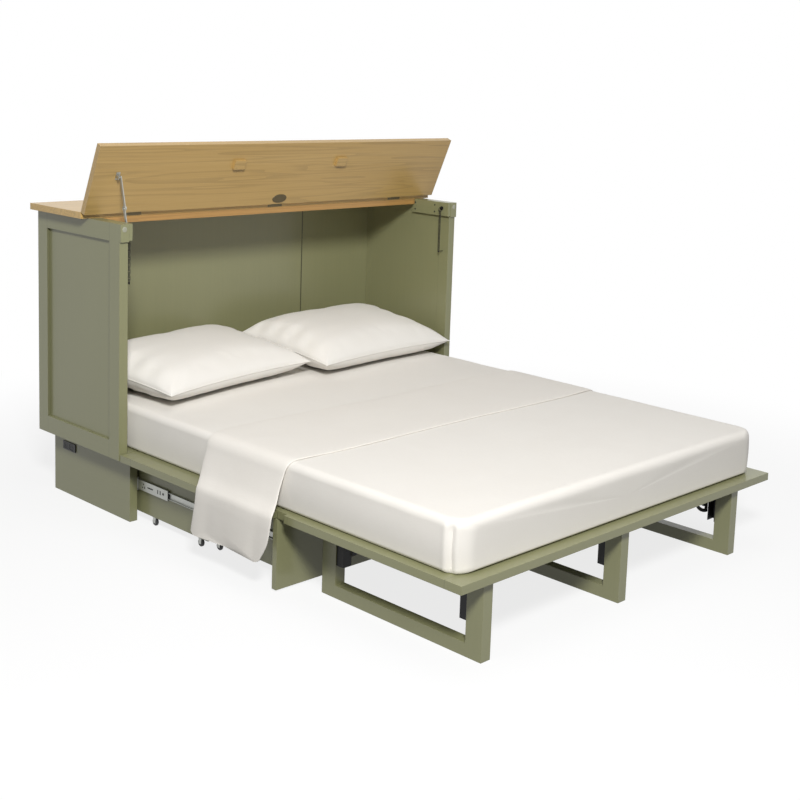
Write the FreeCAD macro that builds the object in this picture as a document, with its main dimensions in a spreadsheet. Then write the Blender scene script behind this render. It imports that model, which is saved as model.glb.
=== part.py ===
import FreeCAD, Part
import math
import os
import re

import Sketcher
from FreeCAD import Vector

# Cabinet bed, opened out: the cabinet stands at the head, its front panel lies flat as
# the inner deck, the outer deck unfolds from it onto three leg frames, and the drawer
# is run out under the fold on a carriage. Millimetres. X is across the bed, +Y toward
# the head, Z up, and the origin is under the middle of the opened bed. Distances named
# "from the back" are counted from the cabinet's rear face toward the foot.

SIZES = {
    # whole object
    "overall_length": 2089,
    "cabinet_width": 1632,
    "deck_top": 257,
    "clearance": 0.3,
    # cabinet
    "side_depth": 528,
    "side_bottom": 233,
    "side_top": 1047,
    "side_thickness": 33,
    "frame_member": 62,
    "panel_lip": 10,
    "panel_tongue": 9,
    "horn_projection": 8,
    "horn_height": 61,
    "horn_recess": 5,
    "back_inset": 18,
    "back_thickness": 12,
    "back_joint": 403,
    "platform_thickness": 20,
    "plinth_half_width": 760,
    "plinth_wall": 30,
    "plinth_depth": 510,
    "plinth_inset": 14,
    "plinth_back": 18,
    "outlet_from_back": 118,
    "outlet_width": 82,
    "outlet_height": 30,
    "outlet_level": 182,
    "outlet_proud": 4,
    # top and lid
    "top_overhang": 31,
    "top_thickness": 23,
    "fixed_top_depth": 337,
    "lid_depth": 262,
    "lid_joint": 3,
    "lid_barrel": 1.4,
    "lid_open_angle": 66.6,
    "lid_leaf": 1,
    "lid_leaf_length": 70,
    "lid_leaf_spacing": 640,
    "stop_block_width": 50,
    "stop_block_depth": 36,
    "stop_block_height": 11,
    "stop_block_from_hinge": 162,
    "stop_block_spacing": 500,
    # cleats, safety pins and their chains
    "cleat_thickness": 14,
    "cleat_length": 212,
    "cleat_height": 57,
    "pin_from_front": 31,
    "pin_level": 1022,
    "pin_radius": 4,
    "pin_length": 35,
    "pin_collar": 8,
    "ring_radius": 9,
    "ring_wire": 1.2,
    "ring_drop": 6,
    "anchor_level": 840,
    "anchor_radius": 1.6,
    "chain_links": 15,
    "chain_wire": 2.4,
    # lid stay
    "stay_gap": 17,
    "stay_lower_length": 88,
    "stay_from_front": 50,
    "stay_lower_level": 1005,
    "stay_strip": 10,
    "stay_metal": 3,
    "stay_rivet": 3,
    "stay_knuckle": 9,
    "stay_lid_along": 150,
    "stay_lid_drop": 12,
    # decks
    "deck_thickness": 25,
    "inner_deck_length": 773,
    "fold_side_gap": 2,
    "deck_gap": 8,
    "hinge_rise": 1,
    "deck_panel": 15,
    "knuckle_radius": 3.4,
    "leaf_thickness": 2,
    "leaf_width": 30,
    "leaf_length": 90,
    "leaf_spacing": 560,
    # leg frames
    "leg_width": 60,
    "leg_thickness": 38,
    "runner_height": 40,
    "leg_start": 1412,
    "leg_end": 2066,
    "left_leg": -665,
    "middle_leg": -38,
    "right_leg": 587,
    "leg_pivot_drop": 6,
    "leg_pin": 2.4,
    "arm_channel": 28,
    "arm_length": 130,
    "sector_radius": 95,
    "sector_metal": 2.5,
    "bracket_pad": 34,
    # drawer, carriage and slides
    "wall_bottom": 31,
    "wall_top": 196,
    "slide_space": 11,
    "first_middle_end": 688,
    "second_middle_end": 1102,
    "slide_length": 446,
    "slide_metal": 1.4,
    "outer_channel": 45,
    "middle_channel": 35,
    "inner_channel": 24,
    "slide_level": 132,
    "carriage_wall": 16,
    "carriage_length": 466,
    "carriage_end": 905,
    "carriage_rail": 18,
    "drawer_wall": 14,
    "drawer_length": 446,
    "drawer_front_start": 1300,
    "drawer_front_thickness": 20,
    "drawer_front_half_width": 770,
    "drawer_front_bottom": 5,
    "drawer_floor": 9,
    "drawer_groove": 6,
    "floor_level": 40,
    "caster_radius": 14,
    "caster_width": 9,
    "caster_plate": 2,
    "caster_axle": 2,
    "carriage_front_caster": 859,
    "carriage_rear_caster": 595,
    "drawer_caster": 926,
    "fork_length": 28,
    "fork_metal": 1.4,
    # bedding
    "mattress_half_width": 752,
    "mattress_thickness": 153,
    "mattress_start": 36,
    "mattress_end": 2050,
    "mattress_edge": 26,
    "mattress_corner": 70,
    "mattress_seam": 1,
    "hinge_groove": 5,
    "pillow_length": 730,
    "pillow_width": 490,
    "pillow_front_seam": 51,
    "pillow_rear_seam": 109,
    "pillow_crest": 87,
    "pillow_sag": 79,
    "left_pillow_middle": -368,
    "right_pillow_middle": 384,
    "pillow_from_back": 351,
    "throw_start": 958,
    "throw_end": 1352,
    "throw_thickness": 9,
    "throw_side_reach": 838,
    "throw_hem": 100,
    "throw_taper": 34,
}

os.makedirs("parts", exist_ok=True)
doc = FreeCAD.newDocument("CabinetBed")
sheet = doc.addObject("Spreadsheet::Sheet", "Sizes")
for row, (alias, value) in enumerate(SIZES.items(), start=1):
    sheet.set("A%d" % row, alias)
    sheet.set("B%d" % row, str(value))
    sheet.setAlias("B%d" % row, alias)
doc.recompute()

nodes = []


# ---------------------------------------------------------------- helpers

def size(alias):
    """The value of one driving size."""
    return sheet.get(alias)


def bound(text):
    """An expression in which each size's name is read from the sheet."""
    def from_sheet(found):
        word = found.group()
        return "Sizes." + word if word in SIZES else word
    return re.sub(r"[a-z][a-z_]*", from_sheet, text)


def tie(thing, field, text):
    thing.setExpression(field, bound(text))


def place(thing, x="0", y="0", z="0"):
    tie(thing, "Placement.Base.x", x)
    tie(thing, "Placement.Base.y", y)
    tie(thing, "Placement.Base.z", z)


def turn(thing, axis, angle):
    """Turn about an axis through the object's own origin, by an angle expression."""
    thing.Placement.Rotation = FreeCAD.Rotation(Vector(*axis), 10)
    tie(thing, "Placement.Rotation.Angle", angle)


def from_back(depth):
    """The Y of a distance counted from the cabinet's rear face."""
    return "overall_length / 2 - (%s)" % depth


def keep(thing, label):
    """Give an object its node name and put it on the list of finished pieces."""
    thing.Label = label
    nodes.append(thing)
    return thing


def brick(name, x, depth, level):
    """A board between two X, two distances from the back and two heights."""
    board = doc.addObject("Part::Box", name)
    tie(board, "Length", "%s - (%s)" % (x[1], x[0]))
    tie(board, "Width", "%s - (%s)" % (depth[1], depth[0]))
    tie(board, "Height", "%s - (%s)" % (level[1], level[0]))
    place(board, x[0], from_back(depth[1]), level[0])
    return board


def rod(name, radius, length, axis, x, y, z):
    """A round bar along an axis word, from its start point."""
    bar = doc.addObject("Part::Cylinder", name)
    tie(bar, "Radius", radius)
    tie(bar, "Height", length)
    turns = {"x": ((0, 1, 0), "90"), "y": ((1, 0, 0), "-90"), "z": ((0, 0, 1), "0")}
    turn(bar, *turns[axis])
    place(bar, x, y, z)
    return bar


def cut(name, base, tools):
    """One solid with others taken out of it."""
    tool = tools[0]
    if len(tools) > 1:
        tool = fuse(name + "_tools", tools)
    result = doc.addObject("Part::Cut", name)
    result.Base = base
    result.Tool = tool
    return result


def fuse(name, parts):
    result = doc.addObject("Part::MultiFuse", name)
    result.Shapes = parts
    result.Refine = True
    return result


def group(name, parts):
    """Separate solids that make one node."""
    result = doc.addObject("Part::Compound", name)
    result.Links = parts
    return result


def mirror(name, source):
    """The opposite-hand piece across the bed's middle plane."""
    result = doc.addObject("Part::Mirroring", name)
    result.Source = source
    result.Base = Vector(0, 0, 0)
    result.Normal = Vector(1, 0, 0)
    return result


def plane_of(body, role):
    for feature in body.Origin.OriginFeatures:
        if feature.Role == role:
            return feature
    return None


def outline(body, role, name, loops):
    """A sketch of closed straight-sided loops, each corner tied to two expressions."""
    sketch = body.newObject("Sketcher::SketchObject", name)
    sketch.AttachmentSupport = (plane_of(body, role), [""])
    sketch.MapMode = "FlatFace"
    for points in loops:
        first = sketch.GeometryCount
        count = len(points)
        spots = [corner_guess(index, count) for index in range(count)]
        for index in range(count):
            line = Part.LineSegment(spots[index], spots[(index + 1) % count])
            sketch.addGeometry(line, False)
        for index in range(count):
            following = first + (index + 1) % count
            joined = Sketcher.Constraint("Coincident", first + index, 2, following, 1)
            sketch.addConstraint(joined)
        for index, (across, along) in enumerate(points):
            tie_corner(sketch, "DistanceX", first + index, across, spots[index].x)
            tie_corner(sketch, "DistanceY", first + index, along, spots[index].y)
    return sketch


def corner_guess(index, count):
    """Where a corner starts before its distances are tied."""
    angle = 2 * math.pi * index / count
    return Vector(50 + 40 * math.cos(angle), 50 + 40 * math.sin(angle), 0)


def tie_corner(sketch, kind, line, text, start):
    """Tie one corner of a line to the sketch's origin along one axis."""
    number = sketch.addConstraint(Sketcher.Constraint(kind, -1, 1, line, 1, start))
    tie(sketch, "Constraints[%d]" % number, text)


def pad(body, sketch, length):
    feature = body.newObject("PartDesign::Pad", body.Name + "_pad")
    feature.Profile = sketch
    tie(feature, "Length", length)
    body.Tip = feature
    return feature


def revolve(body, sketch, axis):
    """Turn a half profile right round one of its sketch's own axes."""
    feature = body.newObject("PartDesign::Revolution", body.Name + "_turned")
    feature.Profile = sketch
    feature.ReferenceAxis = (sketch, [axis])
    feature.Angle = 360
    body.Tip = feature
    return feature


def solid_body(name):
    return doc.addObject("PartDesign::Body", name)


def shaped(name, shape):
    result = doc.addObject("Part::Feature", name)
    result.Shape = shape
    return result


INSIDE = "(cabinet_width / 2 - side_thickness)"
OUTER_HALF = "(cabinet_width / 2 - side_thickness - fold_side_gap)"
DECK_BOTTOM = "(deck_top - deck_thickness)"
AXIS_LEVEL = "(deck_top + hinge_rise)"
FRONT_AXIS = "(side_depth + deck_gap / 2)"
INNER_START = "(side_depth + deck_gap)"
INNER_END = "(side_depth + deck_gap + inner_deck_length)"
FOLD_AXIS = "(side_depth + 1.5 * deck_gap + inner_deck_length)"
OUTER_START = "(side_depth + 2 * deck_gap + inner_deck_length)"
LID_AXIS = "(fixed_top_depth + lid_joint / 2)"
LID_LEVEL = "(side_top + top_thickness - lid_barrel)"
TOP_LEVEL = "(side_top + top_thickness)"
LID_UNDER = "(side_top + clearance)"
TOP_HALF = "(cabinet_width / 2 + top_overhang)"
CLEAT_FACE = "(%s - cleat_thickness)" % INSIDE
CLEAT_END = "(side_depth + horn_projection - 2)"
PIN_DEPTH = "(side_depth - pin_from_front)"
STAY_DEPTH = "(side_depth - stay_from_front)"
CHAIN_X = "(2 * clearance + ring_radius + ring_wire - %s)" % CLEAT_FACE
CHAIN_TOP = "(pin_level - ring_drop - ring_radius + ring_wire + clearance)"
CHAIN_END = "(anchor_level - anchor_radius)"
CHAIN_PITCH = "((%s - %s) / chain_links)" % (CHAIN_TOP, CHAIN_END)


# ---------------------------------------------------------------- framed boards

def framed_board(name, x, depth, windows, lip, tongue_side):
    """A flat frame with equal windows across the bed, and the rabbet for its panels.

    The frame is one deck thick. lip is the strip of the frame left under each panel.
    """
    board = brick(name + "_board", x, depth, (DECK_BOTTOM, "deck_top"))
    openings = []
    for index in range(windows):
        low, high = window_span(x, index, windows, "0")
        opening = brick(name + "_opening", (low, high), window_depth(depth, "0"),
                        (DECK_BOTTOM + " - 1", "deck_top + 1"))
        low, high = window_span(x, index, windows, tongue_side)
        seat = brick(name + "_seat", (low, high), window_depth(depth, tongue_side),
                     (DECK_BOTTOM + " + " + lip, "deck_top + 1"))
        openings += [opening, seat]
    return cut(name + "_frame", board, openings)


def window_span(x, index, count, growth):
    """The two X of one of a frame's equal windows, grown by an expression."""
    pitch = "((%s - (%s) - frame_member) / %d)" % (x[1], x[0], count)
    low = "%s + frame_member + %d * %s - (%s)" % (x[0], index, pitch, growth)
    high = "%s + %d * %s + (%s)" % (x[0], index + 1, pitch, growth)
    return low, high


def window_depth(depth, growth):
    return ("%s + frame_member - (%s)" % (depth[0], growth), "%s - frame_member + (%s)" % (depth[1], growth))


def deck_panels(name, x, depth, windows):
    """The loose panels that lie flush in a deck frame's rabbets."""
    panels = []
    growth = "panel_tongue - clearance"
    for index in range(windows):
        low, high = window_span(x, index, windows, growth)
        panel = brick(name + "_panel", (low, high), window_depth(depth, growth),
                      ("deck_top - deck_panel", "deck_top"))
        panels.append(panel)
    return group(name + "_panels", panels)


# ---------------------------------------------------------------- cabinet

def build_sides():
    """Each side is a stile-and-rail frame with a horn at the top of its front stile."""
    outer = "-cabinet_width / 2"
    board = brick("side_board", (outer, "-" + INSIDE), ("0", "side_depth"), ("side_bottom", "side_top"))
    horn = brick("side_horn", (outer, "-" + INSIDE), ("side_depth - 1", "side_depth + horn_projection"),
                 ("side_top - horn_height", "side_top"))
    window = brick("side_window", (outer + " - 1", "-%s + 1" % INSIDE),
                   ("frame_member", "side_depth - frame_member"),
                   ("side_bottom + frame_member", "side_top - frame_member"))
    seat = brick("side_seat", (outer + " + panel_lip", "-%s + 1" % INSIDE),
                 ("frame_member - panel_tongue", "side_depth - frame_member + panel_tongue"),
                 ("side_bottom + frame_member - panel_tongue", "side_top - frame_member + panel_tongue"))
    bore = rod("side_pin_bore", "pin_radius + clearance", "side_thickness", "x", outer + " + panel_lip",
               from_back(PIN_DEPTH), "pin_level")
    left = cut("left_side", fuse("side_outline", [board, horn]), [window, seat, bore])
    keep(left, "left_side_frame")
    panel = brick("side_panel", (outer + " + panel_lip", "-" + INSIDE),
                  ("frame_member - panel_tongue + clearance",
                   "side_depth - frame_member + panel_tongue - clearance"),
                  ("side_bottom + frame_member - panel_tongue + clearance",
                   "side_top - frame_member + panel_tongue - clearance"))
    keep(panel, "left_side_panel")
    keep(mirror("right_side", left), "right_side_frame")
    keep(mirror("right_panel", panel), "right_side_panel")


def build_back():
    """Two back panels that meet at the joint, standing on the plinth's level."""
    depth = ("back_inset", "back_inset + back_thickness")
    level = ("deck_top", "side_top")
    keep(brick("wide_panel", ("-" + INSIDE, "back_joint"), depth, level), "back_panel_wide")
    keep(brick("narrow_panel", ("back_joint + clearance", INSIDE), depth, level), "back_panel_narrow")


def build_platform():
    """The shelf under the head of the mattress, level with the opened deck."""
    shelf = brick("shelf", ("-" + INSIDE, INSIDE), ("back_inset", "side_depth"),
                  ("deck_top - platform_thickness", "deck_top"))
    keep(cut("platform_board", shelf, leaf_beds("front", FRONT_AXIS, 0)), "platform")


def build_plinth():
    """Two side walls and a back that carry the cabinet and house the drawer."""
    top = "(deck_top - platform_thickness)"
    inner = "(plinth_half_width - plinth_wall)"
    left = brick("plinth_left", ("-plinth_half_width", "-" + inner),
                 ("plinth_inset", "plinth_depth"), ("0", top))
    right = mirror("plinth_right", left)
    back = brick("plinth_rear", ("-%s - 1" % inner, inner + " + 1"),
                 ("plinth_inset", "plinth_inset + plinth_back"), ("0", top))
    socket = brick("outlet_hole", ("-plinth_half_width - 1", "-%s + 1" % inner),
                   ("outlet_from_back - outlet_width / 2 + 4", "outlet_from_back + outlet_width / 2 - 4"),
                   ("outlet_level - outlet_height / 2 + 3", "outlet_level + outlet_height / 2 - 3"))
    keep(cut("plinth_box", fuse("plinth_walls", [left, right, back]), [socket]), "plinth")
    plate = brick("outlet_plate", ("-plinth_half_width - outlet_proud", "-plinth_half_width"),
                  ("outlet_from_back - outlet_width / 2", "outlet_from_back + outlet_width / 2"),
                  ("outlet_level - outlet_height / 2", "outlet_level + outlet_height / 2"))
    well = brick("outlet_well", ("-plinth_half_width - 1", "-plinth_half_width + 22"),
                 ("outlet_from_back - outlet_width / 2 + 4.3", "outlet_from_back + outlet_width / 2 - 4.3"),
                 ("outlet_level - outlet_height / 2 + 3.3", "outlet_level + outlet_height / 2 - 3.3"))
    faces = []
    for offset in ("-17", "17"):
        middle = "outlet_from_back + (%s)" % offset
        recess = ("-plinth_half_width - outlet_proud - 1", "-plinth_half_width - 1")
        faces.append(brick("outlet_recess", recess, (middle + " - 13", middle + " + 13"),
                           ("outlet_level - 10", "outlet_level + 10")))
    keep(cut("outlet_body", fuse("outlet_block", [plate, well]), faces), "power_outlet")


def build_top():
    """The fixed rear half of the top, with its leaves of the lid's hinge."""
    slab = brick("top_slab", ("-" + TOP_HALF, TOP_HALF), ("0", "fixed_top_depth"), ("side_top", TOP_LEVEL))
    keep(cut("top_board", slab, lid_leaf_beds("fixed")), "fixed_top")
    keep(group("fixed_leaves", lid_leaves("fixed")), "top_hinge_fixed_leaves")


def lid_leaf_x(index):
    """The X limits of one of the three leaves of the lid's hinge."""
    middle = "(%d * lid_leaf_spacing)" % index
    return middle + " - lid_leaf_length / 2", middle + " + lid_leaf_length / 2"


def lid_leaf_span(which):
    """From the hinge's middle to the far side of one leaf, counted from the back."""
    if which == "fixed":
        return "fixed_top_depth - lid_leaf", "fixed_top_depth"
    return "fixed_top_depth + lid_joint", "fixed_top_depth + lid_joint + lid_leaf"


def lid_leaf_beds(which):
    beds = []
    low, high = lid_leaf_span(which)
    for index in (-1, 0, 1):
        x = lid_leaf_x(index)
        beds.append(brick(which + "_bed", x, (low, high), ("side_top - 1", TOP_LEVEL)))
    return beds


def lid_leaves(which):
    """Hinge leaves let into a board's edge, each with its half of the pin barrel."""
    leaves = []
    low, high = lid_leaf_span(which)
    for index in (-1, 0, 1):
        x = lid_leaf_x(index)
        plate = brick(which + "_leaf", x, (low, high), ("side_top + 2", LID_LEVEL))
        start = x[0] if which == "fixed" else x[0] + " + lid_leaf_length / 2 + clearance"
        reach = "lid_leaf_length / 2 - clearance"
        arm_depth = (low, LID_AXIS) if which == "fixed" else (LID_AXIS, high)
        arm = brick(which + "_arm", (start, "%s + %s" % (start, reach)), arm_depth,
                    (LID_LEVEL + " - 0.5", LID_LEVEL))
        barrel = rod(which + "_barrel", "lid_barrel - 0.2", reach, "x", start,
                     from_back(LID_AXIS), LID_LEVEL)
        leaves.append(fuse(which + "_leaf_set", [plate, arm, barrel]))
    return leaves


def swing_with_lid(thing):
    """Lift a piece drawn with the lid shut to the lid's open angle, about the lid's hinge."""
    axis_y = "(%s)" % from_back(LID_AXIS)
    turn(thing, (-1, 0, 0), "lid_open_angle")
    cosine = "cos(lid_open_angle)"
    sine = "sin(lid_open_angle)"
    place(thing, "0", "%s - %s * %s - %s * %s" % (axis_y, axis_y, cosine, LID_LEVEL, sine),
          "%s + %s * %s - %s * %s" % (LID_LEVEL, axis_y, sine, LID_LEVEL, cosine))


def build_lid():
    """The front half of the top, its two stop blocks and the stay's bracket."""
    start = "(fixed_top_depth + lid_joint)"
    slab = brick("lid_slab", ("-" + TOP_HALF, TOP_HALF), (start, start + " + lid_depth"),
                 (LID_UNDER, TOP_LEVEL))
    lid = cut("lid_board", slab, lid_leaf_beds("lid"))
    blocks = []
    for sign in ("-1", "1"):
        middle = "(%s * stop_block_spacing / 2)" % sign
        near = start + " + stop_block_from_hinge"
        x = (middle + " - stop_block_width / 2", middle + " + stop_block_width / 2")
        blocks.append(brick("stop_block", x,
                            (near, near + " + stop_block_depth"),
                            ("side_top - stop_block_height", LID_UNDER)))
    pieces = [(lid, "lid"), (group("stop_block_pair", blocks), "lid_stop_blocks"),
              (group("lid_leaf_row", lid_leaves("lid")), "top_hinge_lid_leaves"),
              (stay_lid_bracket(), "stay_lid_bracket")]
    for piece, label in pieces:
        swing_with_lid(piece)
        keep(piece, label)


# ---------------------------------------------------------------- lid stay

STAY_X = "(stay_gap - %s)" % CLEAT_FACE
LUG_AXIS = "(side_top - stay_lid_drop)"
LUG_DEPTH = "(%s + stay_lid_along)" % LID_AXIS


def stay_lid_bracket():
    """A screwed foot under the lid with one lug that carries the upper arm's rivet."""
    foot = brick("lug_foot", (STAY_X + " - 3 * stay_metal", STAY_X + " + 2 * stay_metal"),
                 (LUG_DEPTH + " - 14", LUG_DEPTH + " + 14"), ("side_top - 2", LID_UNDER))
    lug = brick("lug_plate", (STAY_X + " - 3 * stay_metal", STAY_X + " - 2 * stay_metal"),
                (LUG_DEPTH + " - 6", LUG_DEPTH + " + 6"), (LUG_AXIS + " - 6", "side_top - 1"))
    rivet = rod("lug_rivet", "stay_rivet", "2.5 * stay_metal", "x", STAY_X + " - 2.5 * stay_metal",
                from_back(LUG_DEPTH), LUG_AXIS)
    return fuse("stay_lug", [foot, lug, rivet])


def upper_pivot():
    """The open lid's stay pivot: its distance from the back and its height."""
    drop = "(%s - %s)" % (LID_LEVEL, LUG_AXIS)
    depth = "(%s + stay_lid_along * cos(lid_open_angle) + %s * sin(lid_open_angle))" % (LID_AXIS, drop)
    level = "(%s + stay_lid_along * sin(lid_open_angle) - %s * cos(lid_open_angle))" % (LID_LEVEL, drop)
    return depth, level


def stay_arm(name, x, length, low_radius, high_radius):
    """A flat arm drawn upright from its lower eye, with a round eye at each end."""
    strip = doc.addObject("Part::Box", name + "_strip")
    tie(strip, "Length", "stay_metal")
    tie(strip, "Width", "stay_strip")
    tie(strip, "Height", length)
    place(strip, x, "-stay_strip / 2", "0")
    low = rod(name + "_low_eye", low_radius, "stay_metal", "x", x, "0", "0")
    high = rod(name + "_high_eye", high_radius, "stay_metal", "x", x, "0", length)
    return [strip, low, high]


def lean_stay(thing):
    """Set an upright arm on the line from the side's pivot to the open lid's pivot."""
    depth, level = upper_pivot()
    lean = "atan2(%s - %s, %s - stay_lower_level) / 1 deg" % (depth, STAY_DEPTH, level)
    turn(thing, (1, 0, 0), lean)
    place(thing, "0", from_back(STAY_DEPTH), "stay_lower_level")


def build_stay():
    """The folding stay: two arms in line while the lid is up, with a knuckle between."""
    depth, level = upper_pivot()
    whole = "sqrt((%s - %s)^2 + (%s - stay_lower_level)^2)" % (depth, STAY_DEPTH, level)
    eye = "stay_strip / 2 + 1"
    bore = "stay_rivet + clearance"
    lower = stay_arm("lower_arm", STAY_X + " - stay_metal / 2", "stay_lower_length", eye, "stay_knuckle")
    pivot = rod("lower_arm_bore", bore, "3 * stay_metal", "x", STAY_X + " - 1.5 * stay_metal", "0", "0")
    notch = rod("knuckle_bore", "stay_rivet + 2", "3 * stay_metal", "x",
                STAY_X + " - 1.5 * stay_metal", "0", "stay_lower_length")
    lower_arm = cut("lower_arm_plate", fuse("lower_arm_outline", lower), [pivot, notch])
    reach = "(%s - stay_lower_length)" % whole
    upper = stay_arm("upper_arm", STAY_X + " + stay_metal / 2 + clearance", reach, "stay_knuckle", eye)
    cap = rod("knuckle_cap", "stay_knuckle - 2", "2", "x",
              STAY_X + " + 1.5 * stay_metal + clearance - 0.5", "0", "0")
    far_bore = rod("upper_arm_bore", bore, "3 * stay_metal", "x", STAY_X + " - stay_metal / 2", "0", reach)
    upper_arm = cut("upper_arm_plate", fuse("upper_arm_outline", upper + [cap]), [far_bore])
    lean_stay(lower_arm)
    lean_stay(upper_arm)
    along = "stay_lower_length / (%s)" % whole
    tie(upper_arm, "Placement.Base.y",
        "%s + (%s - %s) * %s" % (from_back(STAY_DEPTH), STAY_DEPTH, depth, along))
    tie(upper_arm, "Placement.Base.z", "stay_lower_level + (%s - stay_lower_level) * %s" % (level, along))
    keep(lower_arm, "stay_lower_arm")
    keep(upper_arm, "stay_upper_arm")
    foot = brick("side_bracket_foot", ("-" + CLEAT_FACE, "-%s + 2" % CLEAT_FACE),
                 (STAY_DEPTH + " - 10", STAY_DEPTH + " + 10"),
                 ("stay_lower_level - 12", "stay_lower_level + 12"))
    stud = rod("side_bracket_stud", "stay_rivet", "stay_gap + stay_metal / 2", "x",
               "-" + CLEAT_FACE, from_back(STAY_DEPTH), "stay_lower_level")
    keep(fuse("side_bracket", [foot, stud]), "stay_side_bracket")


# ---------------------------------------------------------------- cleats, pins and chains

def build_cleats():
    """The thick strips inside the sides' top corners that the safety pins pass through."""
    strip = brick("cleat_strip", ("-%s" % INSIDE, "-%s + cleat_thickness" % INSIDE),
                  (CLEAT_END + " - cleat_length", CLEAT_END), ("side_top - cleat_height", "side_top"))
    hole = rod("cleat_bore", "pin_radius + clearance", "cleat_thickness + 2", "x", "-%s - 1" % INSIDE,
               from_back(PIN_DEPTH), "pin_level")
    left = cut("cleat_board", strip, [hole])
    keep(left, "cleat_left")
    keep(mirror("cleat_right_board", left), "cleat_right")


def build_pins():
    """Each pin: a shank with a rounded tip, a collar outside the cleat and a pull ring."""
    body = solid_body("pin_shank")
    collar_end = "pin_length + 3"
    head = "pin_length + 9"
    profile = [("0", "0"), ("pin_radius * 0.6", "0"), ("pin_radius", "3"), ("pin_radius", "pin_length"),
               ("pin_collar", "pin_length"), ("pin_collar", collar_end), ("pin_radius", collar_end),
               ("pin_radius", head), ("0", head)]
    sketch = outline(body, "XZ_Plane", "pin_profile", [profile])
    revolve(body, sketch, "V_Axis")
    turn(body, (0, 1, 0), "90")
    place(body, "clearance - pin_length - %s" % CLEAT_FACE, from_back(PIN_DEPTH), "pin_level")
    ring = doc.addObject("Part::Torus", "pin_ring")
    tie(ring, "Radius1", "ring_radius")
    tie(ring, "Radius2", "ring_wire")
    turn(ring, (1, 0, 0), "90")
    place(ring, CHAIN_X, from_back(PIN_DEPTH), "pin_level - ring_drop")
    left = fuse("pin_and_ring", [body, ring])
    keep(left, "safety_pin_left")
    keep(mirror("pin_and_ring_right", left), "safety_pin_right")


def chain_bar(name, index, upright):
    """One link: a flat ring of square wire, its window facing across or along the bed."""
    middle = "(%s - %s * %g)" % (CHAIN_TOP, CHAIN_PITCH, index + 0.5)
    half = "(%s / 2 + chain_wire + clearance)" % CHAIN_PITCH
    wire = "chain_wire"
    wide = "(1.5 * chain_wire + clearance)"
    level = ("%s - %s" % (middle, half), "%s + %s" % (middle, half))
    hollow = ("%s + %s" % (level[0], wire), "%s - %s" % (level[1], wire))
    thin = ("%s - %s / 2" % (CHAIN_X, wire), "%s + %s / 2" % (CHAIN_X, wire))
    broad = ("%s - %s" % (CHAIN_X, wide), "%s + %s" % (CHAIN_X, wide))
    flat = ("%s - %s / 2" % (PIN_DEPTH, wire), "%s + %s / 2" % (PIN_DEPTH, wire))
    deep = ("%s - %s" % (PIN_DEPTH, wide), "%s + %s" % (PIN_DEPTH, wide))
    if upright:
        bar = brick(name, thin, deep, level)
        hole = brick(name + "_hole", (thin[0] + " - 1", thin[1] + " + 1"),
                     ("%s + %s" % (deep[0], wire), "%s - %s" % (deep[1], wire)), hollow)
        return cut(name + "_link", bar, [hole])
    bar = brick(name, broad, flat, level)
    hole = brick(name + "_hole", ("%s + %s" % (broad[0], wire), "%s - %s" % (broad[1], wire)),
                 (flat[0] + " - 1", flat[1] + " + 1"), hollow)
    return cut(name + "_link", bar, [hole])


def build_chains():
    """A straight hanging run of links from the pin's ring to a headed screw in the side."""
    links = []
    for index in range(int(size("chain_links"))):
        links.append(chain_bar("chain_%d" % index, index, index % 2 == 0))
    screw = rod("chain_screw", "anchor_radius", "%s + %s + chain_wire + 2" % (INSIDE, CHAIN_X), "x",
                "-" + INSIDE, from_back(PIN_DEPTH), "anchor_level")
    head = rod("chain_screw_head", "2 * anchor_radius", "2", "x", CHAIN_X + " + chain_wire + 1",
               from_back(PIN_DEPTH), "anchor_level")
    left = group("chain_run", links + [fuse("chain_anchor", [screw, head])])
    keep(left, "chain_left")
    keep(mirror("chain_run_right", left), "chain_right")


# ---------------------------------------------------------------- decks and their hinges

def leaf_start(index):
    return "(%d * leaf_spacing - leaf_length / 2)" % index


def leaf_depth(axis, half):
    """From the back: a plate's two ends, on the head side or the foot side of an axis."""
    if half == 0:
        return axis + " - leaf_width", axis + " - deck_gap / 2"
    return axis + " + deck_gap / 2", axis + " + leaf_width"


def leaf_beds(name, axis, half):
    """The shallow beds that let a row of leaves lie flush in a board's top face."""
    beds = []
    depth = leaf_depth(axis, half)
    grown = (depth[0] + " - clearance", depth[1] + " + clearance")
    for index in (-1, 0, 1):
        start = leaf_start(index)
        beds.append(brick(name + "_bed", (start + " - clearance", start + " + leaf_length + clearance"),
                          grown, ("deck_top - leaf_thickness", "deck_top + 1")))
    return beds


def leaf_row(name, axis, half):
    """Three leaves let into one board, each with its half of the barrel on the axis."""
    leaves = []
    for index in (-1, 0, 1):
        start = leaf_start(index)
        plate = brick(name + "_plate", (start, start + " + leaf_length"), leaf_depth(axis, half),
                      ("deck_top - leaf_thickness", "deck_top"))
        low = start if half == 0 else start + " + leaf_length / 2 + clearance"
        reach = "(leaf_length / 2 - clearance)"
        near = (axis + " - deck_gap / 2 - 1", axis)
        if half == 1:
            near = (axis, axis + " + deck_gap / 2 + 1")
        arm = brick(name + "_arm", (low, low + " + " + reach), near,
                    ("deck_top - leaf_thickness", "deck_top"))
        barrel = rod(name + "_barrel", "knuckle_radius", reach, "x", low, from_back(axis), AXIS_LEVEL)
        leaves.append(fuse(name + "_leaf", [plate, arm, barrel]))
    return group(name + "_leaves", leaves)


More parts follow.
